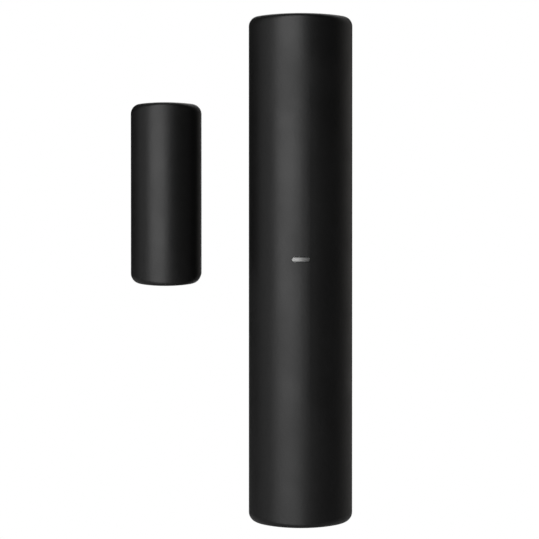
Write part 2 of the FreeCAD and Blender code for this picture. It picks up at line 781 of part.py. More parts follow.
def make_reed_lead(end):
    """One lead: its foot in the board, its wire through the glass and the flat blade at its inner end."""
    foot_z = reed_height + end * reed_foot
    blade_root = reed_height + end * (reed_length / 2 - 2.6)
    blade_tip = reed_height - end * blade_overlap / 2
    blade_y = reed_y + end * blade_offset
    wire = round_z(reed_lead_radius, reed_x, reed_y, blade_root, foot_z + end * reed_lead_radius)
    foot = round_y(reed_lead_radius, reed_x, foot_z, reed_y, board_back_y + 0.5)
    blade = block(reed_x - blade_width / 2, reed_x + blade_width / 2, blade_y - blade_thickness / 2,
                  blade_y + blade_thickness / 2, blade_root + end * 0.6, blade_tip)
    return wire.fuse([foot, blade]).removeSplitter()


add("reed_glass", make_reed_glass())
add("reed_leads", *mirrored(make_reed_lead))


def make_reservoir():
    """The round can of the reservoir capacitor."""
    x, drop = reservoir_place
    top_y = board_front_y - reservoir_height
    can = round_y(reservoir_radius, x, board_top - drop, top_y, board_front_y - reservoir_base)
    return can.makeFillet(0.4, edges_where(can, lambda box: box.YLength < 1e-3 and box.YMax < top_y + 1))


def make_reservoir_base():
    """The square moulded base under the reservoir capacitor."""
    x, drop = reservoir_place
    side = 2 * reservoir_radius + 0.2
    base = on_front(side, side, reservoir_base, x, board_top - drop)
    return base.makeFillet(0.5, edges_where(base, upright))


def make_crystal():
    """The crystal's long metal can with round ends."""
    x, drop = crystal_place
    width, length, height = crystal_size
    crystal = on_front(width, length, height, x, board_top - drop)
    return crystal.makeFillet(width * 0.4, edges_where(crystal, upright))


add("reservoir_capacitor", make_reservoir())
add("capacitor_base", make_reservoir_base())
add("crystal_can", make_crystal())


def make_chip_parts():
    """The small capacitors and resistors on both faces of the board."""
    small = [on_front(*size, x, board_top - drop) for x, drop, *size in front_parts]
    small += [on_back(*size, x, board_top - drop) for x, drop, *size in back_parts]
    small += [on_front(*size, x, board_bottom + rise) for x, rise, *size in screw_side_parts]
    return small


add("chip_parts", *make_chip_parts())

# ---------------------------------------------------------------------------- tamper switch, button
tamper_base = board_back_y + tamper_body_height
power_base = board_back_y + power_body_height


def make_tamper_switch():
    """The tamper switch, with the well that the plunger's stem goes down."""
    switch = on_back(tamper_body, tamper_body, tamper_body_height, 0, tamper_height)
    switch = switch.makeFillet(0.3, edges_where(switch, upright))
    well_y = tamper_base - tamper_stem_reach - moving_gap
    return switch.cut(round_y(tamper_stem_radius + moving_gap, 0, tamper_height, well_y, tamper_base + 1))


add("tamper_switch", make_tamper_switch())


def make_tamper_plunger():
    """The domed plunger, its collar behind the rear cover and its stem inside the spring."""
    shaft = round_y(tamper_radius, 0, tamper_height, collar_y, tamper_tip_y)
    tip_edges = edges_where(shaft, lambda box: box.YLength < 1e-3 and box.YMin > collar_y + 1)
    shaft = shaft.makeFillet(tamper_radius / 2, tip_edges)
    collar = round_y(collar_radius, 0, tamper_height, collar_y, collar_y + collar_thickness)
    stem = round_y(tamper_stem_radius, 0, tamper_height, tamper_base - tamper_stem_reach, collar_y)
    return shaft.fuse([collar, stem]).removeSplitter()


add("tamper_plunger", make_tamper_plunger())


def make_tamper_spring():
    """The spring between the tamper switch and the plunger's collar."""
    wire = tamper_spring_wire
    pitch = (collar_y - tamper_base - wire) / tamper_spring_turns
    start = Vector(0, tamper_base + wire / 2, tamper_height)
    return coil(wire, pitch, tamper_spring_turns, tamper_stem_radius + 2 * wire, start, Vector(0, 1, 0))


def make_power_switch():
    """The power switch: a square body with a round dome."""
    switch = on_back(power_body, power_body, power_body_height, 0, power_height)
    switch = switch.makeFillet(0.3, edges_where(switch, upright))
    dome = round_y(power_radius * 0.7, 0, power_height, power_base - 0.1, power_base + power_dome_height)
    return switch.fuse(dome).removeSplitter()


add("tamper_spring", make_tamper_spring())
add("power_switch", make_power_switch())


def make_power_button():
    """The button cap over the power switch, held in by its flange."""
    low = power_base + power_dome_height + power_travel + rest_gap
    cap = round_y(power_radius, 0, power_height, low, cover_out_y - power_sunk)
    rim = edges_where(cap, lambda box: box.YLength < 1e-3 and box.YMin > low + 1)
    cap = cap.makeFillet(0.3, rim)
    back = cover_in_y - rest_gap
    flange = round_y(power_radius + flange_width, 0, power_height, back - flange_thickness, back)
    return cap.fuse(flange).removeSplitter()


add("power_button", make_power_button())


def terminal_way(side, radius, y0, y1):
    """A round solid along one of the terminal's two wire holes, left (-1) or right (1)."""
    return round_y(radius, side * terminal_pitch / 2, socket_height - 0.2, board_back_y + y0, board_back_y + y1)


def make_socket():
    """A two-way screwless terminal for an outside contact, reached through the rear cover."""
    depth = cover_in_y - board_back_y - fit_gap
    body = on_back(socket_width, socket_length, depth, 0, socket_height)
    ways = [terminal_way(side, terminal_radius, terminal_floor, depth + 1) for side in (-1, 1)]
    return body.cut(ways)


def make_terminal_clips():
    """The contact spring at the bottom of each wire hole."""
    inner = terminal_radius - rest_gap
    return [terminal_way(side, inner, terminal_floor, terminal_floor + 0.7) for side in (-1, 1)]


add("terminal_socket", make_socket())
add("terminal_clips", *make_terminal_clips())


# ---------------------------------------------------------------------------- battery and cradle
def make_cradle():
    """Two D-shaped walls joined by two rails along the rear corners."""
    fit = inner_half - cradle_gap
    back = cover_in_y - fit_gap
    walls = [
        d_prism(fit, axis_y, back, cradle_bottom, negative_z),
        d_prism(fit, axis_y, back, positive_z + contact_thickness, cradle_top),
    ]
    rail_out = inner_half - ledge_width - fit_gap
    rail_in = strip_x - strip_width / 2
    rail_back = back - contact_thickness
    rail_front = axis_y + math.sqrt((battery_radius + 0.12) ** 2 - rail_in**2)
    rail_box = (rail_front, rail_back, cradle_bottom, cradle_top)
    rails = [block(side * rail_in, side * rail_out, *rail_box) for side in (-1, 1)]
    cradle = walls[0].fuse([walls[1]] + rails)
    ledge = block(-half, half, cover_in_y - ledge_depth - fit_gap, 0, cradle_bottom - 1, cradle_top + 1)
    side_room = block(-rail_out, rail_out, cover_in_y - half, 0, cradle_bottom - 2, cradle_top + 2)
    cuts = [ledge.cut(side_room)]
    strip_in, strip_out = strip_x - strip_width / 2 - fit_gap, rail_out + 1
    cuts.append(block(-strip_in, -strip_out, rail_back, 0, cradle_bottom - 1, cradle_top + 1))
    cuts.append(block(strip_in, strip_x + strip_width / 2 + fit_gap, board_back_y - fit_gap,
                      board_back_y + contact_thickness + fit_gap, positive_z, cradle_top + 1))
    cuts.append(block(-strip_in, -strip_out, rail_front - 1, rail_back + 1, negative_z,
                      negative_z + contact_thickness))
    return cradle.cut(cuts).removeSplitter()


add("battery_cradle", make_cradle())


def contact_plate(z):
    """A square contact with round corners against the end of the battery."""
    y0, y1 = axis_y - contact_half, axis_y + contact_half
    plate = block(-contact_half, contact_half, y0, y1, z, z + contact_thickness)
    corners = edges_where(plate, lambda box: box.XLength < 1e-3 and box.YLength < 1e-3)
    return plate.makeFillet(contact_corner, corners)


def make_positive_contact():
    """The top contact, with a strip through the cradle wall to the board."""
    low, high = strip_x - strip_width / 2, strip_x + strip_width / 2
    arm = block(contact_half - 1.5, high, board_back_y - 2.0, board_back_y + contact_thickness,
                positive_z, positive_z + contact_thickness)
    leg_y = (board_back_y, board_back_y + contact_thickness)
    leg = block(low, high, *leg_y, positive_z, board_bottom + strip_reach)
    return contact_plate(positive_z).fuse([arm, leg]).removeSplitter()


def make_negative_contact():
    """The bottom contact, with a strip along the left rail and over the cradle to the board."""
    low, high = strip_x - strip_width / 2, strip_x + strip_width / 2
    strip_back = cover_in_y - fit_gap
    strip_front = strip_back - contact_thickness
    thick = contact_thickness
    over = board_bottom + 0.2
    pieces = [
        block(-high, -contact_half + 1.5, axis_y, axis_y + 3.0, negative_z, negative_z + thick),
        block(-high, -low, axis_y, strip_back, negative_z, negative_z + thick),
        block(-high, -low, strip_front, strip_back, negative_z, over + thick),
        block(-high, -low, board_back_y, strip_back, over, over + thick),
        block(-high, -low, board_back_y, board_back_y + thick, over, board_bottom + strip_reach),
    ]
    return contact_plate(negative_z).fuse(pieces).removeSplitter()


add("positive_contact", make_positive_contact())
add("negative_contact", make_negative_contact())


def make_battery_spring():
    """The cone-shaped spring that presses the battery up."""
    wire = spring_wire
    start = Vector(0, axis_y, negative_z + contact_thickness + wire / 2)
    pitch = (spring_length - wire) / spring_turns
    return coil(wire, pitch, spring_turns, spring_base_radius, start, Vector(0, 0, 1), spring_tip_radius)


add("battery_spring", make_battery_spring())


def make_battery_can():
    """The cell's thin steel can with a rolled shoulder and a raised cap."""
    can_top = battery_top - battery_nub_length
    can = round_z(battery_radius - battery_wrap, 0, axis_y, battery_bottom, can_top)
    can = can.makeFillet(can_shoulder, edges_where(can, lambda box: box.ZLength < 1e-3))
    nub = round_z(battery_nub_radius, 0, axis_y, can_top - 0.5, battery_top)
    nub = nub.makeFillet(0.5, edges_where(nub, lambda box: box.ZLength < 1e-3 and box.ZMin > can_top))
    return can.fuse(nub).cut(battery_filling()).removeSplitter()


def battery_filling():
    """The space inside the can, filled with the wound cell."""
    bottom, top = battery_bottom + can_sheet, battery_top - battery_nub_length - can_sheet
    core = round_z(battery_radius - battery_wrap - can_sheet, 0, axis_y, bottom, top)
    return core.makeFillet(can_shoulder - can_sheet, edges_where(core, lambda box: box.ZLength < 1e-3))


def make_battery_sleeve():
    """The printed plastic sleeve shrunk on the can."""
    bottom, top = battery_bottom + sleeve_end, battery_top - battery_nub_length - sleeve_end
    tube = round_z(battery_radius, 0, axis_y, bottom, top)
    return tube.cut(round_z(battery_radius - battery_wrap, 0, axis_y, bottom - 1, top + 1))


add("battery_can", make_battery_can())
add("battery_core", battery_filling())
add("battery_sleeve", make_battery_sleeve())


# ---------------------------------------------------------------------------- magnet bracket
def make_magnet_bracket():
    """The small plate fixed to the door leaf."""
    thick = magnet_bracket_thickness
    plate_half = magnet_bracket_width / 2
    wing_half = magnet_inner_half - wing_side_gap
    x = magnet_x
    plate = rounded_plate(x - plate_half, x + plate_half, -thick, 0, magnet_z + magnet_bracket_bottom,
                          magnet_z + magnet_bracket_top, magnet_bracket_corner)
    wings = []
    for offset in magnet_catch_heights:
        low = magnet_z + offset - magnet_catch_length / 2
        wings.append(rounded_plate(x - wing_half, x + wing_half, -thick, -thick + magnet_wing_thickness, low,
                                   low + magnet_catch_length, 0.3))
    plate = plate.fuse(wings)
    cuts = [screw_seat(x, magnet_z + offset, magnet_screw_radius, magnet_screw_head_radius, thick)
            for offset in magnet_screw_heights]
    tape_half = magnet_tape_width / 2
    for low, high in magnet_tape_spans:
        cuts.append(block(x - tape_half, x + tape_half, -tape_thickness, 1, magnet_z + low, magnet_z + high))
    return plate.cut(cuts).removeSplitter()


add("magnet_bracket", make_magnet_bracket())
tape_half = magnet_tape_width / 2 - tape_inset
add("magnet_tape", *[
    block(magnet_x - tape_half, magnet_x + tape_half, -tape_thickness, 0, magnet_z + low + tape_inset,
          magnet_z + high - tape_inset) for low, high in magnet_tape_spans
])


# ---------------------------------------------------------------------------- magnet unit
def make_magnet_housing():
    """The small D-section front with two notched ribs that hold the bar magnet."""
    x = magnet_x
    ends = (magnet_wall, magnet_end_wall)
    shell = d_shell(magnet_half, magnet_axis_y, magnet_length, magnet_crown, *ends, x, magnet_z)
    reach = magnet_inner_end + 0.2
    room = d_prism(magnet_inner_half + 0.2, magnet_axis_y, 0, magnet_z - reach, magnet_z + reach, x)
    ledge_y = (magnet_cover_in_y - magnet_ledge_depth, magnet_cover_in_y)
    ledge_inner = magnet_inner_half - magnet_ledge_width
    lug_inner = magnet_bracket_width / 2 + wing_side_gap
    lug_front = -(magnet_bracket_thickness - magnet_wing_thickness - slide_gap)
    left, right = x - magnet_half, x + magnet_half
    ribs = []
    for offset in (-bar_rib_offset, bar_rib_offset):
        low = magnet_z + offset - bar_rib / 2
        ribs.append(block(left, right, -magnet_depth, bar_back_y - 0.5, low, low + bar_rib))
    for side in (-1, 1):
        edge = x + side * magnet_half
        ribs.append(block(x + side * ledge_inner, edge, *ledge_y, magnet_z - reach, magnet_z + reach))
        for offset in magnet_catch_heights:
            lug_z = magnet_z + offset
            ribs.append(catch_lug(side, magnet_inner_half, lug_inner, lug_z, magnet_catch_length, lug_front, x))
    ribs.append(round_y(magnet_post_radius, x, magnet_screw_z, -magnet_depth, magnet_cover_in_y))
    ribs = [rib.common(room) for rib in ribs]
    shell = shell.fuse(ribs).removeSplitter()
    bar = bar_width / 2 + fit_gap / 2
    bar_end = bar_length / 2 + fit_gap
    cuts = [block(x - bar, x + bar, bar_front_y, magnet_cover_in_y, magnet_z - bar_end, magnet_z + bar_end)]
    pilot_end = magnet_cover_out_y - magnet_cover_screw_length - 3 * fit_gap
    cuts.append(round_y(magnet_cover_screw_radius + rest_gap, x, magnet_screw_z, pilot_end, 0))
    slot_half = magnet_tongue_width / 2 + fit_gap
    slot_end = magnet_z + magnet_inner_end + magnet_tongue_length + fit_gap / 2
    cuts.append(block(x - slot_half, x + slot_half, magnet_cover_in_y - fit_gap / 2,
                      magnet_cover_in_y + magnet_tongue_thickness + fit_gap, slot_end - 2, slot_end))
    return shell.cut(cuts).removeSplitter()


add("magnet_housing", make_magnet_housing())


def make_magnet_cover():
    """The flat back of the magnet unit: a tongue at the top and one screw at the bottom."""
    x = magnet_x
    edge_x = magnet_inner_half - cover_gap
    edge_z = magnet_inner_end - cover_gap
    low, high = magnet_cover_in_y, magnet_cover_out_y
    cover = rounded_plate(x - edge_x, x + edge_x, low, high, magnet_z - edge_z, magnet_z + edge_z, 0.4)
    tongue_half = magnet_tongue_width / 2
    tongue_top = magnet_z + magnet_inner_end + magnet_tongue_length
    tongue = block(x - tongue_half, x + tongue_half, low, low + magnet_tongue_thickness,
                   magnet_z + edge_z - 1, tongue_top)
    stop_half = magnet_stop_width / 2
    stop_z = magnet_z + magnet_bracket_top + stop_gap
    stop = block(x - stop_half, x + stop_half, high - 0.2, high + magnet_stop_height,
                 stop_z, stop_z + magnet_stop_length)
    cover = cover.fuse([tongue, stop])
    cuts = [
        round_y(magnet_cover_screw_radius + screw_clearance, x, magnet_screw_z, low - 1, 0),
        round_y(magnet_cover_head_radius + fit_gap, x, magnet_screw_z, high - magnet_cover_head, 0),
    ]
    return cover.cut(cuts).removeSplitter()


add("magnet_cover", make_magnet_cover())
magnet_screw_sizes = (magnet_cover_head_radius, magnet_cover_head, magnet_cover_screw_radius)
add("magnet_cover_screw", make_screw(magnet_x, magnet_screw_z, magnet_cover_out_y, *magnet_screw_sizes,
                                     magnet_cover_screw_length, 0.6))
bar = block(magnet_x - bar_width / 2, magnet_x + bar_width / 2, bar_front_y, bar_back_y,
            magnet_z - bar_length / 2, magnet_z + bar_length / 2)
add("bar_magnet", bar.makeChamfer(0.3, bar.Edges))
foam_half = bar_width / 2 - 0.6
add("magnet_foam", block(magnet_x - foam_half, magnet_x + foam_half, bar_back_y, magnet_cover_in_y,
                         magnet_z - foam_length / 2, magnet_z + foam_length / 2))

# ---------------------------------------------------------------------------- one STEP file per node
os.makedirs("parts", exist_ok=True)
for name, solids in nodes.items():
    shape = solids[0] if len(solids) == 1 else Part.makeCompound(solids)
    shape.exportStep(f"parts/{name}.step")
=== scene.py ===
"""Looks of a wireless door contact sensor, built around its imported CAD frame.

The slim D-section detector and its short magnet unit stand side by side in front of the plane Y = 0. Every
finish is a procedural material, and small moulded, soldered and printed details are added to the CAD pieces.
"""

from __future__ import annotations

import logging
import math
from dataclasses import dataclass, field
from enum import Enum

import bmesh
import bpy
from mathutils import Matrix, Vector


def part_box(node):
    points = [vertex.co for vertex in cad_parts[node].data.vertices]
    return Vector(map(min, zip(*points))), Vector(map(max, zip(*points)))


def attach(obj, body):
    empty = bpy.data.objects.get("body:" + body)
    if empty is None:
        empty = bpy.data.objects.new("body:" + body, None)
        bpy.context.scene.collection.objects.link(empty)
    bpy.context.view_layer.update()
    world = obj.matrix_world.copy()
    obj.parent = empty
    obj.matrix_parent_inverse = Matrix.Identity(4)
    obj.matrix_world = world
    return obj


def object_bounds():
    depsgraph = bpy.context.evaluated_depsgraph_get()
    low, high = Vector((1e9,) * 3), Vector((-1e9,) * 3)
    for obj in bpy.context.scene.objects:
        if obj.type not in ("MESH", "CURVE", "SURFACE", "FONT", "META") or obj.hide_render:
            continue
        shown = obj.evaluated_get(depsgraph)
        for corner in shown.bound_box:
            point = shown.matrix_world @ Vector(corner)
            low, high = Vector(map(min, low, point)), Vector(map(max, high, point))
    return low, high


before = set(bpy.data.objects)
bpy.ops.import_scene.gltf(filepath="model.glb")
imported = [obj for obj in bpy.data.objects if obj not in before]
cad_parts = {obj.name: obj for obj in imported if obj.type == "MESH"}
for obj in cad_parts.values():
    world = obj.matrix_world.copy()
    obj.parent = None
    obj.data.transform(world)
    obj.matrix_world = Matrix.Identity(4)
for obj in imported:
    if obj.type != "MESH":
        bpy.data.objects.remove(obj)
CAD_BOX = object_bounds()

MM = 0.001
LOG = logging.getLogger("door_contact")

Colour = tuple[float, float, float]
WHITE: Colour = (1.0, 1.0, 1.0)
SILVER: Colour = (0.68, 0.68, 0.67)
WARM_WHITE: Colour = (1.0, 0.96, 0.92)


# ------------------------------------------------------------------------------------------ node graphs
class Graph:
    """A small helper that adds nodes to one node tree and joins them."""

    def __init__(self, tree: bpy.types.NodeTree) -> None:
        """Keeps the tree.

        Args:
            tree: The node tree to build in.
        """
        self.tree = tree

    def add(self, kind: str, values: dict | None = None, **settings: object) -> bpy.types.Node:
        """Adds one node.

        Args:
            kind: The node's type name, without the ShaderNode prefix.
            values: Socket name or number to its value, or to an output socket to join.
            settings: Properties of the node itself.

        Returns:
            The new node.
        """
        node = self.tree.nodes.new(kind if kind.startswith("Node") else "ShaderNode" + kind)
        for name, value in settings.items():
            setattr(node, name, value)
        for socket, value in (values or {}).items():
            self.put(node.inputs[socket], value)
        return node

    def put(self, socket: bpy.types.NodeSocket, value: object) -> None:
        """Sets an input socket, or joins it to an output.

        Args:
            socket: The input socket.
            value: A number, a colour or vector, or an output socket.
        """
        if isinstance(value, bpy.types.NodeSocket):
            self.tree.links.new(value, socket)
        elif socket.type == "RGBA" and len(value) == 3:
            socket.default_value = (*value, 1.0)
        else:
            socket.default_value = value

    def maths(
        self, operation: str, first: object, second: object = 0.0, clamp: bool = False,
    ) -> bpy.types.NodeSocket:
        """One sum on two numbers.

        Args:
            operation: The Math node's operation.
            first: A number or an output socket.
            second: A number or an output socket.
            clamp: Whether the answer is kept from 0 to 1.

        Returns:
            The answer's socket.
        """
        node = self.add("Math", {0: first, 1: second}, operation=operation, use_clamp=clamp)
        return node.outputs[0]

    def mix(self, factor: object, first: object, second: object) -> bpy.types.NodeSocket:
        """Mixes two colours.

        Args:
            factor: How much of the second colour, from 0 to 1.
            first: The first colour or an output socket.
            second: The second colour or an output socket.

        Returns:
            The mixed colour's socket.
        """
        node = self.add("Mix", data_type="RGBA")
        self.put(node.inputs[0], factor)
        self.put(node.inputs[6], first)
        self.put(node.inputs[7], second)
        return node.outputs[2]

    def spread(
        self, value: object, low: float, high: float, start: float = 0.0, end: float = 1.0,
    ) -> bpy.types.NodeSocket:
        """Maps a value that runs from start to end on to low to high.

        Args:
            value: The output socket to map.
            low: The result at start.
            high: The result at end.
            start: The value that gives low.
            end: The value that gives high.

        Returns:
            The mapped value's socket.
        """
        node = self.add("MapRange", {0: value, 1: start, 2: end, 3: low, 4: high})
        return node.outputs[0]

    def place(self) -> bpy.types.NodeOutputs:
        """The object coordinates, split into X, Y and Z."""
        return self.add("SeparateXYZ", {0: self.add("TexCoord").outputs["Object"]}).outputs

    def apart(self, where: bpy.types.NodeSocket, middle: float) -> bpy.types.NodeSocket:
        """How far a coordinate is from a middle plane, on either side."""
        return self.maths("ABSOLUTE", self.maths("SUBTRACT", where, middle))

    def radius(self, first: bpy.types.NodeSocket, second: bpy.types.NodeSocket) -> bpy.types.NodeSocket:
        """The length of two offsets that are square to each other."""
        squares = [self.maths("POWER", offset, 2.0) for offset in (first, second)]
        return self.maths("SQRT", self.maths("ADD", *squares))

    def find(self, kind: str) -> bpy.types.Node:
        """The tree's first node of a kind."""
        return next(node for node in self.tree.nodes if node.type == kind)

    def seen_as(self, lit: bpy.types.NodeSocket, seen: bpy.types.NodeSocket) -> bpy.types.NodeSocket:
        """One shader for the light in the scene and another for what the camera sees.

        Args:
            lit: The shader that lights the scene.
            seen: The shader that the camera sees.

        Returns:
            The joined shader's socket.
        """
        blend = self.add("MixShader", {0: self.add("LightPath").outputs["Is Camera Ray"], 1: lit, 2: seen})
        return blend.outputs[0]

    def finish(self, **values: object) -> None:
        """Sets inputs of the Principled BSDF.

        Args:
            values: Input name, with underscores for spaces, to its value or to an output socket to join.
        """
        shader = self.find("BSDF_PRINCIPLED")
        for name, value in values.items():
            self.put(shader.inputs[name.replace("_", " ")], value)

    def emboss(self, height: bpy.types.NodeSocket, depth: float, strength: float = 1.0) -> None:
        """Raises the surface by a pattern.

        Args:
            height: The pattern's socket.
            depth: The relief of a whole unit of the pattern, in metres.
            strength: How strongly it shows.
        """
        bump = self.add("Bump", {"Height": height, "Strength": strength, "Distance": depth})
        self.finish(Normal=bump.outputs[0])


class Effect(Enum):
    """The shared surface effects, each a shader node group."""

    GRAIN = "Moulded grain"
    EDGE = "Edge wear"
    FILM = "Dust and handling film"
    BRUSH = "Drawn metal"


class EffectLibrary:
    """Builds each shared effect once and places it in materials."""

    def __init__(self) -> None:
        """Starts with nothing built."""
        self.groups: dict[Effect, bpy.types.NodeTree] = {}

    def place(self, graph: Graph, effect: Effect, **values: object) -> bpy.types.NodeOutputs:
        """Puts an effect's group in a material.

        Args:
            graph: The material's graph.
            effect: The effect wanted.
            values: The group's inputs.

        Returns:
            The group's outputs.
        """
        node = graph.tree.nodes.new("ShaderNodeGroup")
        node.node_tree = self.group(effect)
        for name, value in values.items():
            graph.put(node.inputs[name], value)
        return node.outputs

    def group(self, effect: Effect) -> bpy.types.NodeTree:
        """The node group of one effect, built the first time it is asked for.

        Args:
            effect: The effect wanted.

        Returns:
            Its node group.
        """
        if effect not in self.groups:
            makers = {
                Effect.GRAIN: self._grain,
                Effect.EDGE: self._edge,
                Effect.FILM: self._film,
                Effect.BRUSH: self._brush,
            }
            self.groups[effect] = makers[effect](effect.value)
        return self.groups[effect]

    @staticmethod
    def _start(name: str, inputs: dict[str, float], outputs: tuple[str, ...]) -> tuple[Graph, dict, dict]:
        """Makes an empty group with number sockets.

        Args:
            name: The group's name.
            inputs: Input name to its usual value.
            outputs: Names of the outputs.

        Returns:
            The group's graph, its inputs as sockets to read and its outputs as sockets to fill.
        """
        tree = bpy.data.node_groups.new(name, "ShaderNodeTree")
        for label, value in inputs.items():
            socket = tree.interface.new_socket(label, in_out="INPUT", socket_type="NodeSocketFloat")
            socket.default_value = value
        for label in outputs:
            tree.interface.new_socket(label, in_out="OUTPUT", socket_type="NodeSocketFloat")
        graph = Graph(tree)
        start, end = graph.add("NodeGroupInput"), graph.add("NodeGroupOutput")
        return graph, {k: start.outputs[k] for k in inputs}, {k: end.inputs[k] for k in outputs}

    @staticmethod
    def _place_scaled(graph: Graph, size: object) -> bpy.types.NodeSocket:
        """Object coordinates counted in features of a given size.

        Args:
            graph: The group's graph.
            size: One feature's size in metres.

        Returns:
            The scaled coordinates' socket.
        """
        where = graph.add("TexCoord").outputs["Object"]
        times = graph.maths("DIVIDE", 1.0, size)
        scaled = graph.add("VectorMath", {0: where}, operation="SCALE")
        graph.put(scaled.inputs["Scale"], times)
        return scaled.outputs[0]

    def _grain(self, name: str) -> bpy.types.NodeTree:
        """The fine pitted grain that an eroded mould leaves on plastic.

        Args:
            name: The group's name.

        Returns:
            The node group.
        """
        graph, inputs, outputs = self._start(name, {"Size": 0.4 * MM}, ("Height", "Tone"))
        where = self._place_scaled(graph, inputs["Size"])
        pits = graph.add("TexVoronoi", {"Vector": where, "Scale": 1.0, "Smoothness": 0.6}, feature="SMOOTH_F1")
        haze = graph.add("TexNoise", {"Vector": where, "Scale": 0.7, "Detail": 4.0, "Roughness": 0.6})
        height = graph.maths("ADD", graph.maths("MULTIPLY", pits.outputs["Distance"], 0.6), haze.outputs["Fac"])
        graph.put(outputs["Height"], height)
        graph.put(outputs["Tone"], graph.spread(height, 0.0, 1.0, 0.45, 1.05))
        return graph.tree

    def _edge(self, name: str) -> bpy.types.NodeTree:
        """A broken mask along sharp outer edges, where handling rubs a surface.

        Args:
            name: The group's name.

        Returns:
            The node group.
        """
        graph, inputs, outputs = self._start(name, {"Reach": 0.25 * MM, "Amount": 1.0}, ("Mask",))
        rounded = graph.add("Bevel", {"Radius": inputs["Reach"]}, samples=4)
        plain = graph.add("NewGeometry").outputs["Normal"]
        turn = graph.add("VectorMath", {0: rounded.outputs[0], 1: plain}, operation="DOT_PRODUCT")
        bend = graph.spread(turn.outputs["Value"], 1.0, 0.0, 0.86, 0.995)
        where = self._place_scaled(graph, 1.6 * MM)
        patches = graph.add("TexNoise", {"Vector": where, "Scale": 1.0, "Detail": 5.0, "Roughness": 0.65})
        broken = graph.spread(patches.outputs["Fac"], 0.0, 1.0, 0.42, 0.66)
        mask = graph.maths("MULTIPLY", graph.maths("MULTIPLY", bend, broken), inputs["Amount"], clamp=True)
        graph.put(outputs["Mask"], mask)
        return graph.tree

    def _film(self, name: str) -> bpy.types.NodeTree:
        """Dust that settles on upward faces, and the faint smears that fingers leave.

        Args:
            name: The group's name.

        Returns:
            The node group.
        """
        graph, inputs, outputs = self._start(name, {"Spread": 9.0 * MM}, ("Dust", "Smear"))
        broad = self._place_scaled(graph, inputs["Spread"])
        fine = self._place_scaled(graph, 0.12 * MM)
        smears = graph.add("TexNoise", {"Vector": broad, "Scale": 1.0, "Detail": 3.0, "Distortion": 0.6})
        specks = graph.add("TexNoise", {"Vector": fine, "Scale": 1.0, "Detail": 2.0})
        up = graph.add("SeparateXYZ", {0: graph.add("NewGeometry").outputs["Normal"]}).outputs["Z"]
        level = graph.spread(up, 0.12, 1.0, 0.2, 0.95)
        speckle = graph.spread(specks.outputs["Fac"], 0.0, 1.0, 0.52, 0.72)
        graph.put(outputs["Dust"], graph.maths("MULTIPLY", level, speckle, clamp=True))
        graph.put(outputs["Smear"], graph.spread(smears.outputs["Fac"], 0.0, 1.0, 0.3, 0.7))
        return graph.tree

    def _brush(self, name: str) -> bpy.types.NodeTree:
        """The long fine scratches of drawn or rolled metal, along Z.

        Args:
            name: The group's name.

        Returns:
            The node group.
        """
        graph, inputs, outputs = self._start(name, {"Size": 0.15 * MM}, ("Height", "Tone"))
        where = self._place_scaled(graph, inputs["Size"])
        long = graph.add("Mapping", {"Vector": where, "Scale": (1.0, 1.0, 0.04)})
        lines = graph.add("TexNoise", {"Vector": long.outputs[0], "Scale": 1.0, "Detail": 3.0})
        graph.put(outputs["Height"], lines.outputs["Fac"])
        graph.put(outputs["Tone"], graph.spread(lines.outputs["Fac"], 0.0, 1.0, 0.35, 0.65))
        return graph.tree


EFFECTS = EffectLibrary()


# ------------------------------------------------------------------------------------------ places
@dataclass(frozen=True)
class Room:
    """A box between two corners, in millimetres."""

    low: Vector
    high: Vector

    @classmethod
    def of(cls, node: str) -> Room:
        """The box of one CAD node.

        Args:
            node: The node's name.

        Returns:
            Its box.
        """
        low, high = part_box(node)
        return cls(low / MM, high / MM)

    @property
    def middle(self) -> Vector:
        """The box's middle."""
        return (self.low + self.high) / 2

    @property
    def size(self) -> Vector:
        """The box's three sizes."""
        return self.high - self.low


def separate_rooms(node: str) -> list[Room]:
    """The box of each separate solid in one CAD node.

    Args:
        node: The node's name.

    Returns:
        One box for each solid.
    """
    copy = bmesh.new()
    copy.from_mesh(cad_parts[node].data)
    bmesh.ops.remove_doubles(copy, verts=copy.verts, dist=0.001 * MM)
    left, rooms = set(copy.verts), []
    while left:
        reached, waiting = [], [left.pop()]
        while waiting:
            vert = waiting.pop()
            reached.append(vert.co / MM)
            for edge in vert.link_edges:
                other = edge.other_vert(vert)
                if other in left:
                    left.remove(other)
                    waiting.append(other)
        corners = [Vector(pick(co[axis] for co in reached) for axis in range(3)) for pick in (min, max)]
        rooms.append(Room(*corners))
    copy.free()
    return sorted(rooms, key=lambda room: tuple(room.low))


# ------------------------------------------------------------------------------------------ finishes
def darker(colour: Colour, share: float) -> Colour:
    """The same colour at a share of its brightness."""
    return tuple(part * share for part in colour)


@dataclass(frozen=True)
class Surface:
    """A named finish, which each kind of surface paints in its own way."""

    name: str

    def build(self) -> bpy.types.Material:
        """Makes the material.

        Returns:
            The new material.
        """
        material = bpy.data.materials.new(self.name)
        material.use_nodes = True
        self.paint(Graph(material.node_tree))
        return material

    def paint(self, graph: Graph) -> None:
        """Adds the surface's nodes to a material's graph."""
        raise NotImplementedError(self.name)


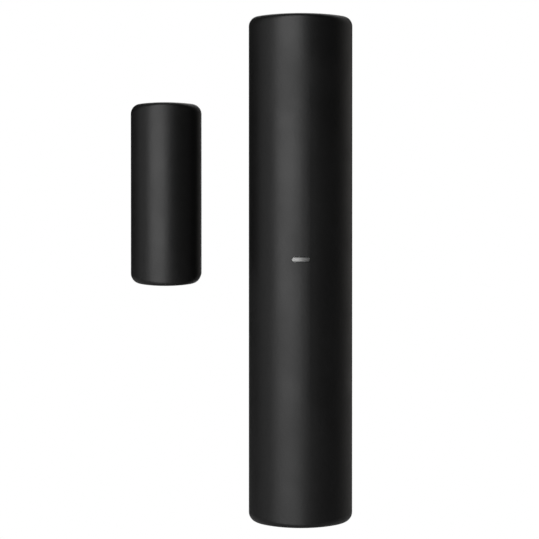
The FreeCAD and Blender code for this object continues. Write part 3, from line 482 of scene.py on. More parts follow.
@dataclass(frozen=True)
class MouldedPlastic(Surface):
    """Moulded plastic with an eroded grain, light wear on its edges and a little dust."""

    colour: Colour
    worn: Colour
    roughness: float = 0.5
    grain_size: float = 0.4 * MM
    grain_depth: float = 0.012 * MM
    wear: float = 0.35
    dust: float = 0.1
    dust_colour: Colour = (0.45, 0.43, 0.4)
    grain_shade: float = 0.82

    def paint(self, graph: Graph) -> None:
        """Adds the grain, the worn edges and the dust.

        Args:
            graph: The material's graph.
        """
        grain = EFFECTS.place(graph, Effect.GRAIN, Size=self.grain_size)
        edge = EFFECTS.place(graph, Effect.EDGE, Amount=self.wear)
        film = EFFECTS.place(graph, Effect.FILM)
        base = graph.mix(grain["Tone"], darker(self.colour, self.grain_shade), self.colour)
        rubbed = graph.mix(edge["Mask"], base, self.worn)
        dusty = graph.mix(graph.maths("MULTIPLY", film["Dust"], self.dust), rubbed, self.dust_colour)
        rough = graph.spread(film["Smear"], self.roughness - 0.04, self.roughness + 0.05)
        graph.finish(Base_Color=dusty, Roughness=rough)
        graph.emboss(grain["Height"], self.grain_depth)


@dataclass(frozen=True)
class BareMetal(Surface):
    """Drawn, rolled or plated metal with fine scratches and small stains."""

    colour: Colour
    stain: Colour
    roughness: float = 0.3
    scratch_size: float = 0.12 * MM
    scratch_depth: float = 0.003 * MM
    stain_spread: float = 2.5 * MM
    stain_share: float = 0.45

    def paint(self, graph: Graph) -> None:
        """Adds the scratches and the stains.

        Args:
            graph: The material's graph.
        """
        brush = EFFECTS.place(graph, Effect.BRUSH, Size=self.scratch_size)
        film = EFFECTS.place(graph, Effect.FILM, Spread=self.stain_spread)
        stained = graph.maths("MULTIPLY", film["Smear"], self.stain_share)
        rough = graph.spread(brush["Tone"], self.roughness - 0.07, self.roughness + 0.1)
        graph.finish(Base_Color=graph.mix(stained, self.colour, self.stain), Metallic=1.0, Roughness=rough)
        graph.emboss(brush["Height"], self.scratch_depth)


@dataclass(frozen=True)
class ClearGlass(Surface):
    """Clear glass or plastic with a faint body colour and smears on its surface."""

    tint: Colour
    roughness: float = 0.03
    refraction: float = 1.5
    smear_spread: float = 1.5 * MM

    def paint(self, graph: Graph) -> None:
        """Adds the clear body and the smears.

        Args:
            graph: The material's graph.
        """
        film = EFFECTS.place(graph, Effect.FILM, Spread=self.smear_spread)
        rough = graph.spread(film["Smear"], self.roughness, self.roughness + 0.06)
        graph.finish(Base_Color=self.tint, Transmission_Weight=1.0, IOR=self.refraction, Roughness=rough)


@dataclass(frozen=True)
class LightWindow(Surface):
    """The oval face of the light pipe, silvered and satin, with painted shade darkening it towards its long edges.
    """

    silver: Colour
    room: Room
    half_height: float = 0.5 * MM
    soft: float = 0.3 * MM
    satin_size: float = 0.1 * MM
    satin_depth: float = 0.002 * MM
    satin_shade: float = 0.85
    painted_edge_shade: float = 0.12

    def paint(self, graph: Graph) -> None:
        """Adds the satin silver and the painted shade that darkens its long edges.

        Args:
            graph: The material's graph.
        """
        brush = EFFECTS.place(graph, Effect.BRUSH, Size=self.satin_size)
        # Painted shade: towards the oval's long edges the silver fades to a small share of its brightness.
        off_line = graph.apart(graph.place()["Z"], self.room.middle.z * MM)
        rim = graph.spread(off_line, 0.0, 1.0, self.half_height - self.soft, self.half_height)
        satin = graph.mix(brush["Tone"], darker(self.silver, self.satin_shade), self.silver)
        shade_edged_silver = graph.mix(rim, satin, darker(self.silver, self.painted_edge_shade))
        graph.finish(Base_Color=shade_edged_silver, Metallic=0.9, Roughness=graph.spread(brush["Tone"], 0.3, 0.42))
        graph.emboss(brush["Height"], self.satin_depth)


@dataclass(frozen=True)
class MaskedBoard(Surface):
    """A glass-fibre board under solder mask, with faint copper traces and small plated holes."""

    mask: Colour
    trace: Colour
    fibre: Colour
    plating: Colour = (0.78, 0.6, 0.28)
    trace_scale: float = 420.0
    patch_scale: float = 260.0
    hole_scale: float = 330.0
    hole_radius: float = 0.07
    trace_height: float = 0.03 * MM

    def paint(self, graph: Graph) -> None:
        """Adds the traces, the plated holes and the bare cut edges.

        Args:
            graph: The material's graph.
        """
        where = graph.place()
        flat = graph.add("CombineXYZ", {0: where["X"], 1: where["Z"]}).outputs[0]
        bricks = {"Mortar Size": 0.035, "Brick Width": 2.3, "Row Height": 0.45}
        bricks.update({"Vector": flat, "Scale": self.trace_scale})
        lanes = graph.add("TexBrick", bricks, offset=0.37).outputs["Fac"]
        patches = graph.add("TexNoise", {"Vector": flat, "Scale": self.patch_scale, "Detail": 1.0}).outputs["Fac"]
        traces = graph.maths("MULTIPLY", lanes, graph.spread(patches, 0.0, 1.0, 0.44, 0.48), clamp=True)
        holes = graph.add("TexVoronoi", {"Vector": flat, "Scale": self.hole_scale}, voronoi_dimensions="2D")
        plated = graph.maths("LESS_THAN", holes.outputs["Distance"], self.hole_radius)
        side = graph.add("SeparateXYZ", {0: graph.add("NewGeometry").outputs["Normal"]}).outputs["Y"]
        cut_edge = graph.maths("LESS_THAN", graph.maths("ABSOLUTE", side), 0.5)
        plate = graph.mix(plated, graph.mix(traces, self.mask, self.trace), self.plating)
        metal = graph.maths("MULTIPLY", plated, graph.maths("SUBTRACT", 1.0, cut_edge))
        rough = graph.spread(cut_edge, 0.3, 0.75)
        graph.finish(Base_Color=graph.mix(cut_edge, plate, self.fibre), Metallic=metal, Roughness=rough)
        graph.emboss(traces, self.trace_height, 0.8)


@dataclass(frozen=True)
class LeadedChip(Surface):
    """A square body whose leads, or whose dark middle, are told apart by distance from its centre."""

    body: Colour
    other: Colour
    room: Room
    margin: float
    middle_half: float = 0.0
    body_shade: float = 0.8
    grain_size: float = 0.08 * MM
    grain_depth: float = 0.004 * MM

    def paint(self, graph: Graph) -> None:
        """Adds the body, and either metal leads outside the margin or a dark middle in a metal body.

        Args:
            graph: The material's graph.
        """
        grain = EFFECTS.place(graph, Effect.GRAIN, Size=self.grain_size)
        where, middle = graph.place(), self.room.middle * MM
        far = graph.maths("MAXIMUM", graph.apart(where["X"], middle.x), graph.apart(where["Z"], middle.z))
        if self.middle_half:
            other = graph.maths("LESS_THAN", far, self.middle_half * MM)
            metal = graph.maths("SUBTRACT", 1.0, other)
        else:
            other = graph.maths("GREATER_THAN", far, (self.room.size.x / 2 - self.margin) * MM)
            metal = other
        body = graph.mix(grain["Tone"], darker(self.body, self.body_shade), self.body)
        colour = graph.mix(other, body, self.other)
        graph.finish(Base_Color=colour, Metallic=metal, Roughness=graph.spread(metal, 0.6, 0.3))
        graph.emboss(grain["Height"], self.grain_depth)


@dataclass(frozen=True)
class ShrunkSleeve(Surface):
    """A glossy printed sleeve with a pale band by its upper end and thin rings, shrunk round the cell."""

    ink: Colour
    band: Colour
    room: Room
    bands: tuple[tuple[float, float], ...] = ((0.04, 0.2), (0.23, 0.24), (0.86, 0.87))
    scuff: Colour = (0.4, 0.4, 0.4)
    scuff_spread: float = 5.0 * MM
    ripple_scale: float = 240.0
    ripple_depth: float = 0.02 * MM

    def paint(self, graph: Graph) -> None:
        """Adds the bands, the scuffs and the ripple of the film.

        Args:
            graph: The material's graph.
        """
        film = EFFECTS.place(graph, Effect.FILM, Spread=self.scuff_spread)
        drop = graph.maths("SUBTRACT", self.room.high.z * MM, graph.place()["Z"])
        steps = graph.add("ValToRGB", {0: graph.spread(drop, 0.0, 1.0, 0.0, self.room.size.z * MM)})
        ramp = steps.color_ramp
        ramp.interpolation = "CONSTANT"
        stops = [(0.0, self.ink)]
        for start, end in self.bands:
            stops += [(start, self.band), (end, self.ink)]
        for number, (place, colour) in enumerate(stops):
            stop = ramp.elements[number] if number < 2 else ramp.elements.new(place)
            stop.position, stop.color = place, (*colour, 1.0)
        scuffed = graph.mix(graph.maths("MULTIPLY", film["Smear"], 0.12), steps.outputs[0], self.scuff)
        graph.finish(Base_Color=scuffed, Roughness=graph.spread(film["Smear"], 0.22, 0.34))
        where = graph.add("TexCoord").outputs["Object"]
        ripple = graph.add("TexNoise", {"Vector": where, "Scale": self.ripple_scale})
        graph.emboss(ripple.outputs["Fac"], self.ripple_depth)


@dataclass(frozen=True)
class PrintedLabel(Surface):
    """Coated paper with a thin printed border and nothing else."""

    paper: Colour
    ink: Colour
    room: Room
    border_inset: float = 0.6 * MM
    border_half: float = 0.07 * MM
    paper_shade: float = 0.93
    paper_grain: float = 0.05 * MM
    paper_depth: float = 0.002 * MM

    def paint(self, graph: Graph) -> None:
        """Adds the paper and its border.

        Args:
            graph: The material's graph.
        """
        grain = EFFECTS.place(graph, Effect.GRAIN, Size=self.paper_grain)
        where, middle, half = graph.place(), self.room.middle * MM, self.room.size * MM / 2
        across = graph.maths("SUBTRACT", half.x, graph.apart(where["X"], middle.x))
        along = graph.maths("SUBTRACT", half.z, graph.apart(where["Z"], middle.z))
        from_line = graph.apart(graph.maths("MINIMUM", across, along), self.border_inset)
        line = graph.maths("LESS_THAN", from_line, self.border_half)
        sheet = graph.mix(grain["Tone"], darker(self.paper, self.paper_shade), self.paper)
        graph.finish(Base_Color=graph.mix(line, sheet, self.ink), Roughness=graph.spread(grain["Tone"], 0.5, 0.62))
        graph.emboss(grain["Height"], self.paper_depth)


@dataclass(frozen=True)
class CellFoam(Surface):
    """Foam with small closed cells, with painted shade making the colour darker in each cell's pit."""

    crest: Colour
    shaded_pit: Colour
    cell: float
    relief_share: float = 0.4

    def paint(self, graph: Graph) -> None:
        """Adds the cells and the painted shade in their pits.

        Args:
            graph: The material's graph.
        """
        where = graph.add("TexCoord").outputs["Object"]
        cells = graph.add("TexVoronoi", {"Vector": where, "Scale": 1.0 / self.cell}, feature="F1")
        depth = graph.spread(cells.outputs["Distance"], 0.0, 1.0, 0.1, 0.7)
        # Painted shade: the colour runs from the shaded pit colour in each cell's middle to the crest colour at its
        # walls.
        graph.finish(Base_Color=graph.mix(depth, self.shaded_pit, self.crest), Roughness=graph.spread(depth, 0.95, 0.8))
        graph.emboss(depth, self.cell * self.relief_share)


@dataclass(frozen=True)
class WoundCell(Surface):
    """Thin layers wound round the cell's axis."""

    layer: Colour
    seam: Colour
    room: Room
    pitch: float = 0.2 * MM
    relief: float = 0.02 * MM

    def paint(self, graph: Graph) -> None:
        """Adds the layers.

        Args:
            graph: The material's graph.
        """
        where, middle = graph.place(), self.room.middle * MM
        radius = graph.radius(graph.apart(where["X"], middle.x), graph.apart(where["Y"], middle.y))
        wave = graph.maths("SINE", graph.maths("MULTIPLY", radius, math.tau / self.pitch))
        colour = graph.mix(graph.spread(wave, 0.0, 1.0, -1.0, 1.0), self.seam, self.layer)
        graph.finish(Base_Color=colour, Roughness=graph.spread(wave, 0.6, 0.45, -1.0, 1.0))
        graph.emboss(wave, self.relief, 0.6)


@dataclass(frozen=True)
class LightDiode(Surface):
    """A pale moulded diode with its coloured filling in the middle."""

    body: Colour
    filling: Colour
    room: Room
    smear_spread: float = 0.5 * MM
    filling_radius: float = 0.24 * MM
    filling_fade: float = 0.08 * MM

    def paint(self, graph: Graph) -> None:
        """Adds the body and its filling.

        Args:
            graph: The material's graph.
        """
        film = EFFECTS.place(graph, Effect.FILM, Spread=self.smear_spread)
        where, middle = graph.place(), self.room.middle * MM
        radius = graph.radius(graph.apart(where["X"], middle.x), graph.apart(where["Z"], middle.z))
        core = graph.spread(radius, 1.0, 0.0, self.filling_radius, self.filling_radius + self.filling_fade)
        colour = graph.mix(core, self.body, self.filling)
        graph.finish(Base_Color=colour, Roughness=graph.spread(film["Smear"], 0.25, 0.4))


# ------------------------------------------------------------------------------------------ studio
@dataclass(frozen=True)
class PaleFloor(Surface):
    """A pale matt sheet that the camera sees as plain white."""

    shade: Colour = (0.6, 0.6, 0.6)

    def paint(self, graph: Graph) -> None:
        """Mixes the matt sheet with white for what the camera sees.

        Args:
            graph: The material's graph.
        """
        graph.finish(Base_Color=self.shade, Roughness=0.9)
        sheet, out = (graph.find(kind) for kind in ("BSDF_PRINCIPLED", "OUTPUT_MATERIAL"))
        glow = graph.add("Emission", {"Color": WHITE, "Strength": 1.0})
        graph.put(out.inputs["Surface"], graph.seen_as(sheet.outputs[0], glow.outputs[0]))


@dataclass
class SoftBox:
    """One large soft lamp that faces the object."""

    name: str
    azimuth: float
    elevation: float
    distance: float
    width: float
    height: float
    power: float
    tint: Colour = WHITE

    def build(self, target: Vector) -> bpy.types.Object:
        """Hangs the lamp.

        Args:
            target: The point that it faces.

        Returns:
            The lamp's object.
        """
        data = bpy.data.lights.new(self.name, "AREA")
        data.shape, data.size, data.size_y = "RECTANGLE", self.width, self.height
        data.energy, data.color = self.power, self.tint
        lamp = bpy.data.objects.new(self.name, data)
        turn, rise = math.radians(self.azimuth), math.radians(self.elevation)
        away = Vector((math.sin(turn) * math.cos(rise), -math.cos(turn) * math.cos(rise), math.sin(rise)))
        lamp.location = target + away * self.distance
        lamp.rotation_euler = (-away).to_track_quat("-Z", "Y").to_euler()
        bpy.context.scene.collection.objects.link(lamp)
        return lamp


@dataclass
class Studio:
    """The plain pale floor, the soft lamps, the white surroundings and the camera."""

    camera_x: float = -6.0 * MM
    camera_distance: float = 900.0 * MM
    camera_height: float = 27.0 * MM
    aim_height: float = 0.0
    subject_depth: float = 12.5 * MM
    lens: float = 306.8
    floor_drop: float = 60.0 * MM
    floor_radius: float = 2.5
    floor_sides: int = 96
    surround: float = 0.012
    sensor_width: float = 36.0
    near_clip: float = 0.01
    far_clip: float = 20.0
    lamps: list[SoftBox] = field(
        default_factory=lambda: [
            SoftBox("key lamp", -26.0, 6.0, 0.6, 0.64, 0.75, 4.3),
            SoftBox("left lamp", -85.0, 6.0, 0.6, 0.3, 0.75, 0.32),
            SoftBox("right lamp", 115.0, 6.0, 0.6, 0.3, 0.75, 0.14, WARM_WHITE),
            SoftBox("right rim lamp", 140.0, 4.0, 0.6, 0.3, 0.8, 0.2, WARM_WHITE),
            SoftBox("back lamp", 180.0, 8.0, 0.6, 0.22, 0.8, 0.6),
            SoftBox("high back lamp", 170.0, 55.0, 0.7, 0.6, 0.6, 1.5),
        ]
    )

    def build(self) -> None:
        """Sets up everything round the object."""
        middle = (CAD_BOX[0] + CAD_BOX[1]) / 2
        for lamp in self.lamps:
            lamp.build(middle)
        self._floor(CAD_BOX[0].z - self.floor_drop)
        self._surroundings()
        self._camera()

    def _floor(self, height: float) -> None:
        """Lays the floor.

        Args:
            height: The floor's height.
        """
        mesh = bpy.data.meshes.new("floor")
        sheet = bmesh.new()
        bmesh.ops.create_circle(sheet, cap_ends=True, segments=self.floor_sides, radius=self.floor_radius)
        bmesh.ops.translate(sheet, verts=sheet.verts, vec=(0.0, 0.0, height))
        sheet.to_mesh(mesh)
        sheet.free()
        floor = bpy.data.objects.new("floor", mesh)
        bpy.context.scene.collection.objects.link(floor)
        mesh.materials.append(PaleFloor("Pale floor").build())

    def _surroundings(self) -> None:
        """Makes the surroundings white to the camera and a soft grey to the object."""
        world = bpy.data.worlds.new("white surroundings")
        world.use_nodes = True
        bpy.context.scene.world = world
        graph = Graph(world.node_tree)
        world.node_tree.nodes.clear()
        seen = graph.add("Background", {"Color": WHITE, "Strength": 1.0})
        felt = graph.add("Background", {"Color": WHITE, "Strength": self.surround})
        graph.add("OutputWorld", {"Surface": graph.seen_as(felt.outputs[0], seen.outputs[0])})

    def _camera(self) -> None:
        """Stands the camera in front, a little above the middle and left of the detector."""
        data = bpy.data.cameras.new("camera")
        data.lens, data.sensor_width = self.lens, self.sensor_width
        data.clip_start, data.clip_end = self.near_clip, self.far_clip
        camera = bpy.data.objects.new("camera", data)
        pitch = math.atan2(self.camera_height - self.aim_height, self.camera_distance - self.subject_depth)
        camera.location = (self.camera_x, -self.camera_distance, self.camera_height)
        camera.rotation_euler = (math.pi / 2 - pitch, 0.0, 0.0)
        bpy.context.scene.collection.objects.link(camera)
        bpy.context.scene.camera = camera
        bpy.context.scene.view_settings.view_transform = "Standard"


# ------------------------------------------------------------------------------------------ shaping
ROUND_STEPS = 4
RIM_STEPS = 2
ALIGNED = 0.9
SHARP_ANGLE = 0.9
MERGE_DISTANCE = 0.0005
SMOOTH_ANGLE = math.radians(38.0)


def facing_y(centre: Vector) -> Matrix:
    """A place whose flat side is square to Y."""
    return Matrix.Translation(centre) @ Matrix.Rotation(math.pi / 2, 4, "X")


class Axis(Enum):
    """The three directions of the frame."""

    X = (1.0, 0.0, 0.0)
    Y = (0.0, 1.0, 0.0)
    Z = (0.0, 0.0, 1.0)

    @property
    def vector(self) -> Vector:
        """The direction as a vector."""
        return Vector(self.value)


class Sculpt:
    """The mesh of one new piece, shaped in millimetres in the CAD frame."""

    def __init__(self) -> None:
        """Starts an empty mesh."""
        self.mesh = bmesh.new()

    def slab(self, low: Vector, high: Vector, along: Axis = Axis.Y, corner: float = 0.0, rim: float = 0.0) -> list:
        """A block with rounded upright edges and softened rims.

        Args:
            low: One corner.
            high: The opposite corner.
            along: The direction that the upright edges follow.
            corner: The radius of the upright edges.
            rim: The bevel of every remaining edge.

        Returns:
            The block's vertices.
        """
        before = set(self.mesh.verts)
        matrix = Matrix.LocRotScale((low + high) / 2, None, high - low)
        made = bmesh.ops.create_cube(self.mesh, size=1.0, matrix=matrix)
        if corner:
            edges = {edge for vert in made["verts"] for edge in vert.link_edges}
            runs = {edge: (edge.verts[0].co - edge.verts[1].co).normalized() for edge in edges}
            upright = [edge for edge in edges if abs(runs[edge].dot(along.vector)) > ALIGNED]
            self._bevel(upright, corner, ROUND_STEPS)
        if rim:
            edges = {edge for vert in set(self.mesh.verts) - before for edge in vert.link_edges if edge.is_manifold}
            self._bevel([edge for edge in edges if edge.calc_face_angle(0.0) > SHARP_ANGLE], rim, RIM_STEPS)
        return [vert for vert in self.mesh.verts if vert not in before]

    def _bevel(self, edges: list, offset: float, segments: int) -> None:
        """Bevels edges by an offset.

        Args:
            edges: The edges.
            offset: How far the bevel reaches.
            segments: The number of faces across it.
        """
        bmesh.ops.bevel(
            self.mesh, geom=edges, offset=offset, offset_type="OFFSET", segments=segments, profile=0.5,
            affect="EDGES", material=-1, clamp_overlap=True,
        )

    def turned(
        self, profile: list[tuple[float, float]], centre: Vector, axis: Axis = Axis.Y, steps: int = 24,
        closed: bool = False,
    ) -> None:
        """Spins a profile a full turn.

        Args:
            profile: Points as distance from the axis and rise along it.
            centre: The point that they are measured from.
            axis: The direction of the axis.
            steps: The number of sides.
            closed: Whether the profile's last point joins its first.
        """
        away = axis.vector.orthogonal().normalized()
        verts = [self.mesh.verts.new(centre + away * radius + axis.vector * rise) for radius, rise in profile]
        pairs = list(zip(verts, verts[1:] + verts[:1])) if closed else list(zip(verts, verts[1:]))
        edges = [self.mesh.edges.new(pair) for pair in pairs]
        bmesh.ops.spin(
            self.mesh, geom=verts + edges, cent=centre, axis=axis.vector, angle=math.tau, steps=steps,
            use_merge=True, use_duplicate=False,
        )

    def sheet(self, centre: Vector, width: float, height: float, corner: float, steps: int) -> None:
        """A flat rounded rectangle, square to Y.

        Args:
            centre: The rectangle's middle.
            width: Its size along X.
            height: Its size along Z.
            corner: The radius of its corners.
            steps: The number of faces round a corner.
        """
        matrix = facing_y(centre) @ Matrix.Diagonal((width, height, 1.0, 1.0))
        made = bmesh.ops.create_grid(self.mesh, x_segments=1, y_segments=1, size=0.5, matrix=matrix)
        bmesh.ops.bevel(
            self.mesh, geom=made["verts"], offset=corner, offset_type="OFFSET", segments=steps, profile=0.5,
            affect="VERTICES", material=-1,
        )

    def cut(self, point: Vector, normal: Vector, drop_outer: bool = False) -> None:
        """Cuts the whole mesh along a plane.

        Args:
            point: A point on the plane.
            normal: The plane's direction.
            drop_outer: Whether what lies beyond the plane is removed.
        """
        everything = list(self.mesh.verts) + list(self.mesh.edges) + list(self.mesh.faces)
        bmesh.ops.bisect_plane(
            self.mesh, geom=everything, plane_co=point, plane_no=normal, clear_outer=drop_outer,
        )

    def raise_faces(self) -> set:
        """Extrudes every face in place, and gives the new vertices."""
        raised = bmesh.ops.extrude_face_region(self.mesh, geom=list(self.mesh.faces))
        return {item for item in raised["geom"] if isinstance(item, bmesh.types.BMVert)}

    def loop(self, centre: Vector, width: float, height: float, corner: float) -> list:
        """A rounded rectangle of edges, square to Y.

        Args:
            centre: The rectangle's middle.
            width: Its size along X.
            height: Its size along Z.
            corner: The radius of its corners.

        Returns:
            Its edges.
        """
        before = set(self.mesh.faces)
        self.sheet(centre, width, height, corner, ROUND_STEPS)
        face = next(face for face in self.mesh.faces if face not in before)
        edges = list(face.edges)
        bmesh.ops.delete(self.mesh, geom=[face], context="FACES_ONLY")
        return edges

    def frame_ring(
        self, centre: Vector, width: float, height: float, corner: float, section: list[tuple[float, float]],
    ) -> None:
        """A ring round a rounded rectangle, with a section carried along it.

        Args:
            centre: The rectangle's middle.
            width: The rectangle's size along X.
            height: Its size along Z.
            corner: The radius of its corners.
            section: Points as offset out of the rectangle and rise along Y.
        """
        flat = Vector((width / 2 - corner, 0.0, height / 2 - corner))

        def shift(verts: list, out: float, rise: float) -> None:
            """Moves a loop out of the rectangle and up.

            Args:
                verts: The loop's vertices.
                out: The move out of the rectangle.
                rise: The move along Y.
            """
            for vert in verts:
                away = vert.co - centre
                held = Vector(max(-limit, min(limit, part)) for limit, part in zip(flat, away))
                away = Vector((away.x - held.x, 0.0, away.z - held.z)).normalized()
                vert.co += away * out + Axis.Y.vector * rise

        edges = self.loop(centre, width, height, corner)
        shift(list({vert for edge in edges for vert in edge.verts}), *section[0])
        for start, end in zip(section, section[1:] + section[:1]):
            made = bmesh.ops.extrude_edge_only(self.mesh, edges=edges)["geom"]
            verts = {item for item in made if isinstance(item, bmesh.types.BMVert)}
            edges = [item for item in made if isinstance(item, bmesh.types.BMEdge) and verts.issuperset(item.verts)]
            shift(list(verts), end[0] - start[0], end[1] - start[1])

    def release(self, name: str, finish: Finish, body: str, slot: str) -> bpy.types.Object:
        """Turns the mesh into a finished piece that rides on a body.

        Args:
            name: The piece's name.
            finish: Its finish.
            body: The body that it rides on.
            slot: A material slot name; not used.

        Returns:
            The piece's object.
        """
        bmesh.ops.remove_doubles(self.mesh, verts=self.mesh.verts, dist=MERGE_DISTANCE)
        bmesh.ops.recalc_face_normals(self.mesh, faces=self.mesh.faces)
        bmesh.ops.scale(self.mesh, verts=self.mesh.verts, vec=(MM, MM, MM))
        for face in self.mesh.faces:
            face.smooth = True
        data = bpy.data.meshes.new(name)
        self.mesh.to_mesh(data)
        self.mesh.free()
        data.set_sharp_from_angle(angle=SMOOTH_ANGLE)
        data.materials.append(finish.material())
        piece = bpy.data.objects.new(name, data)
        bpy.context.scene.collection.objects.link(piece)
        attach(piece, body)
        LOG.info("%s: %d faces on %s", name, len(data.polygons), body)
        return piece


# ------------------------------------------------------------------------------------------ palette
class Finish(Enum):
    """Every finish of the object's own pieces."""

    HOUSING = MouldedPlastic(
        "Black grained housing", (0.005, 0.005, 0.0051), (0.03, 0.03, 0.03), roughness=0.45, dust=0.03
    )
    BACK = MouldedPlastic(
        "Black smooth back", (0.012, 0.012, 0.0125), (0.05, 0.05, 0.05), 0.38, 0.25 * MM, 0.006 * MM
    )
    GREY = MouldedPlastic("Grey cradle", (0.16, 0.16, 0.165), (0.3, 0.3, 0.3), 0.5, 0.3 * MM, 0.008 * MM)
    NATURAL = MouldedPlastic(
        "Natural nylon", (0.74, 0.72, 0.66), (0.85, 0.84, 0.8), 0.45, 0.2 * MM, 0.004 * MM, 0.2, 0.2
    )
    TERMINAL = MouldedPlastic(
        "Green terminal body", (0.03, 0.3, 0.12), (0.1, 0.45, 0.22), 0.45, 0.2 * MM, 0.006 * MM
    )
    CHIP = MouldedPlastic("Chip resin", (0.02, 0.02, 0.022), (0.06, 0.06, 0.06), 0.6, 0.08 * MM, 0.005 * MM)
    SYMBOL = MouldedPlastic("Grey symbol print", (0.12, 0.12, 0.12), (0.3, 0.3, 0.3), 0.6, 0.1 * MM, 0.002 * MM)
    POLE = MouldedPlastic("Red pole paint", (0.5, 0.03, 0.02), (0.6, 0.3, 0.25), 0.4, 0.1 * MM, 0.002 * MM)
    INSULATOR = MouldedPlastic("Fibre washer", (0.35, 0.33, 0.3), (0.5, 0.48, 0.44), 0.75, 0.15 * MM, 0.006 * MM)
    STEEL = BareMetal("Zinc-plated steel", (0.62, 0.62, 0.63), (0.45, 0.46, 0.48), 0.3)
    TIN = BareMetal("Tin-plated sheet", (0.78, 0.78, 0.79), (0.6, 0.6, 0.6), 0.26)
    SOLDER = BareMetal("Bright solder", (0.74, 0.75, 0.77), (0.5, 0.5, 0.52), 0.22, 0.3 * MM, 0.004 * MM)
    ALUMINIUM = BareMetal("Capacitor can", (0.7, 0.7, 0.72), (0.55, 0.55, 0.57), 0.34)
    COPPER = BareMetal("Enamelled copper wire", (0.72, 0.34, 0.16), (0.5, 0.2, 0.08), 0.25)
    GOLD = BareMetal("Plated contact", (0.83, 0.64, 0.3), (0.6, 0.45, 0.2), 0.25)
    NICKEL = BareMetal("Nickel-plated magnet", (0.42, 0.42, 0.43), (0.3, 0.3, 0.31), 0.22, 0.2 * MM)
    GLASS = ClearGlass("Reed tube glass", (0.62, 0.82, 0.72))
    BEAD = ClearGlass("Sealing bead glass", (0.3, 0.55, 0.42), 0.08)
    SILICONE = ClearGlass("Clear silicone", (0.95, 0.93, 0.86), 0.12)
    # The window's face is darkened towards its long edges by painted shade.
    WINDOW = LightWindow("Silvered light window", (0.25, 0.25, 0.247), Room.of("light_pipe"))
    PIPE = ClearGlass("Clear moulded pipe", (0.9, 0.92, 0.93), 0.06)
    BOARD = MaskedBoard("Masked circuit board", (0.012, 0.13, 0.05), (0.03, 0.24, 0.1), (0.5, 0.44, 0.26))
    CONTROLLER = LeadedChip("Leaded chip", (0.02, 0.02, 0.022), SILVER, Room.of("microcontroller"), 0.69)
    SWITCH = LeadedChip("Framed switch", (0.62, 0.62, 0.63), (0.08, 0.08, 0.09), Room.of("power_switch"), 0.0, 1.06)
    SLEEVE = ShrunkSleeve("Shrunk sleeve", (0.03, 0.09, 0.3), (0.6, 0.61, 0.62), Room.of("battery_sleeve"))
    LABEL = PrintedLabel("Blank label", (0.86, 0.86, 0.84), (0.2, 0.2, 0.2), Room.of("rear_label"))
    # Each foam's second colour is painted shade for its cell pits.
    TAPE = CellFoam("Foam tape", (0.76, 0.75, 0.71), (0.6, 0.59, 0.55), 0.12 * MM)
    FOAM = CellFoam("Black foam", (0.03, 0.03, 0.03), (0.012, 0.012, 0.012), 0.25 * MM)
    CELL = WoundCell("Wound cell", (0.3, 0.3, 0.32), (0.12, 0.12, 0.13), Room.of("battery_core"))
    CERAMIC = MouldedPlastic("Chip ceramic", (0.58, 0.46, 0.32), (0.7, 0.6, 0.5), 0.4, 0.05 * MM, 0.002 * MM)
    DIODE = LightDiode("Light diode", (0.86, 0.84, 0.76), (0.85, 0.62, 0.08), Room.of("status_led"))

    def material(self) -> bpy.types.Material:
        """The finish as a material, built the first time it is asked for.

        Returns:
            The material.
        """
        return bpy.data.materials.get(self.value.name) or self.value.build()


# ------------------------------------------------------------------------------------------ sub-assemblies
CORNERS = ((-1, -1), (-1, 1), (1, -1), (1, 1))


@dataclass
class SubAssembly:
    """A group of CAD nodes and the small pieces added to them."""

    body: str = "detector"
    nodes: dict[str, Finish] = field(default_factory=dict)

    def dress(self) -> None:
        """Gives each CAD node its finish."""
        for node, finish in self.nodes.items():
            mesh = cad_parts[node].data
            mesh.materials.clear()
            mesh.materials.append(finish.material())
            LOG.info("%s: %s", node, finish.value.name)

    def detail(self) -> None:
        """Builds the group's small pieces."""

    def lathe(
        self, name: str, finish: Finish, slot: str, profile: list[tuple[float, float]], centres: list[Vector],
        **turn: object,
    ) -> None:
        """Makes a piece by spinning one profile at one or more places.

        Args:
            name: The piece's name.
            finish: Its finish.
            slot: A material slot name, passed on to the piece.
            profile: Points as distance from the axis and rise along it.
            centres: The places.
            turn: The axis, the steps and whether the profile closes, as Sculpt.turned takes them.
        """
        piece = Sculpt()
        for centre in centres:
            piece.turned(profile, centre, **turn)
        piece.release(name, finish, self.body, slot)

    def ring(
        self, name: str, finish: Finish, slot: str, centre: Vector, size: tuple[float, float], corner: float,
        section: list[tuple[float, float]],
    ) -> None:
        """Makes a piece by carrying a section round a rounded rectangle.

        Args:
            name: The piece's name.
            finish: Its finish.
            slot: A material slot name, passed on to the piece.
            centre: The rectangle's middle.
            size: Its sizes along X and Z.
            corner: The radius of its corners.
            section: Points as offset out of the rectangle and rise along Y.
        """
        piece = Sculpt()
        piece.frame_ring(centre, *size, corner, section)
        piece.release(name, finish, self.body, slot)


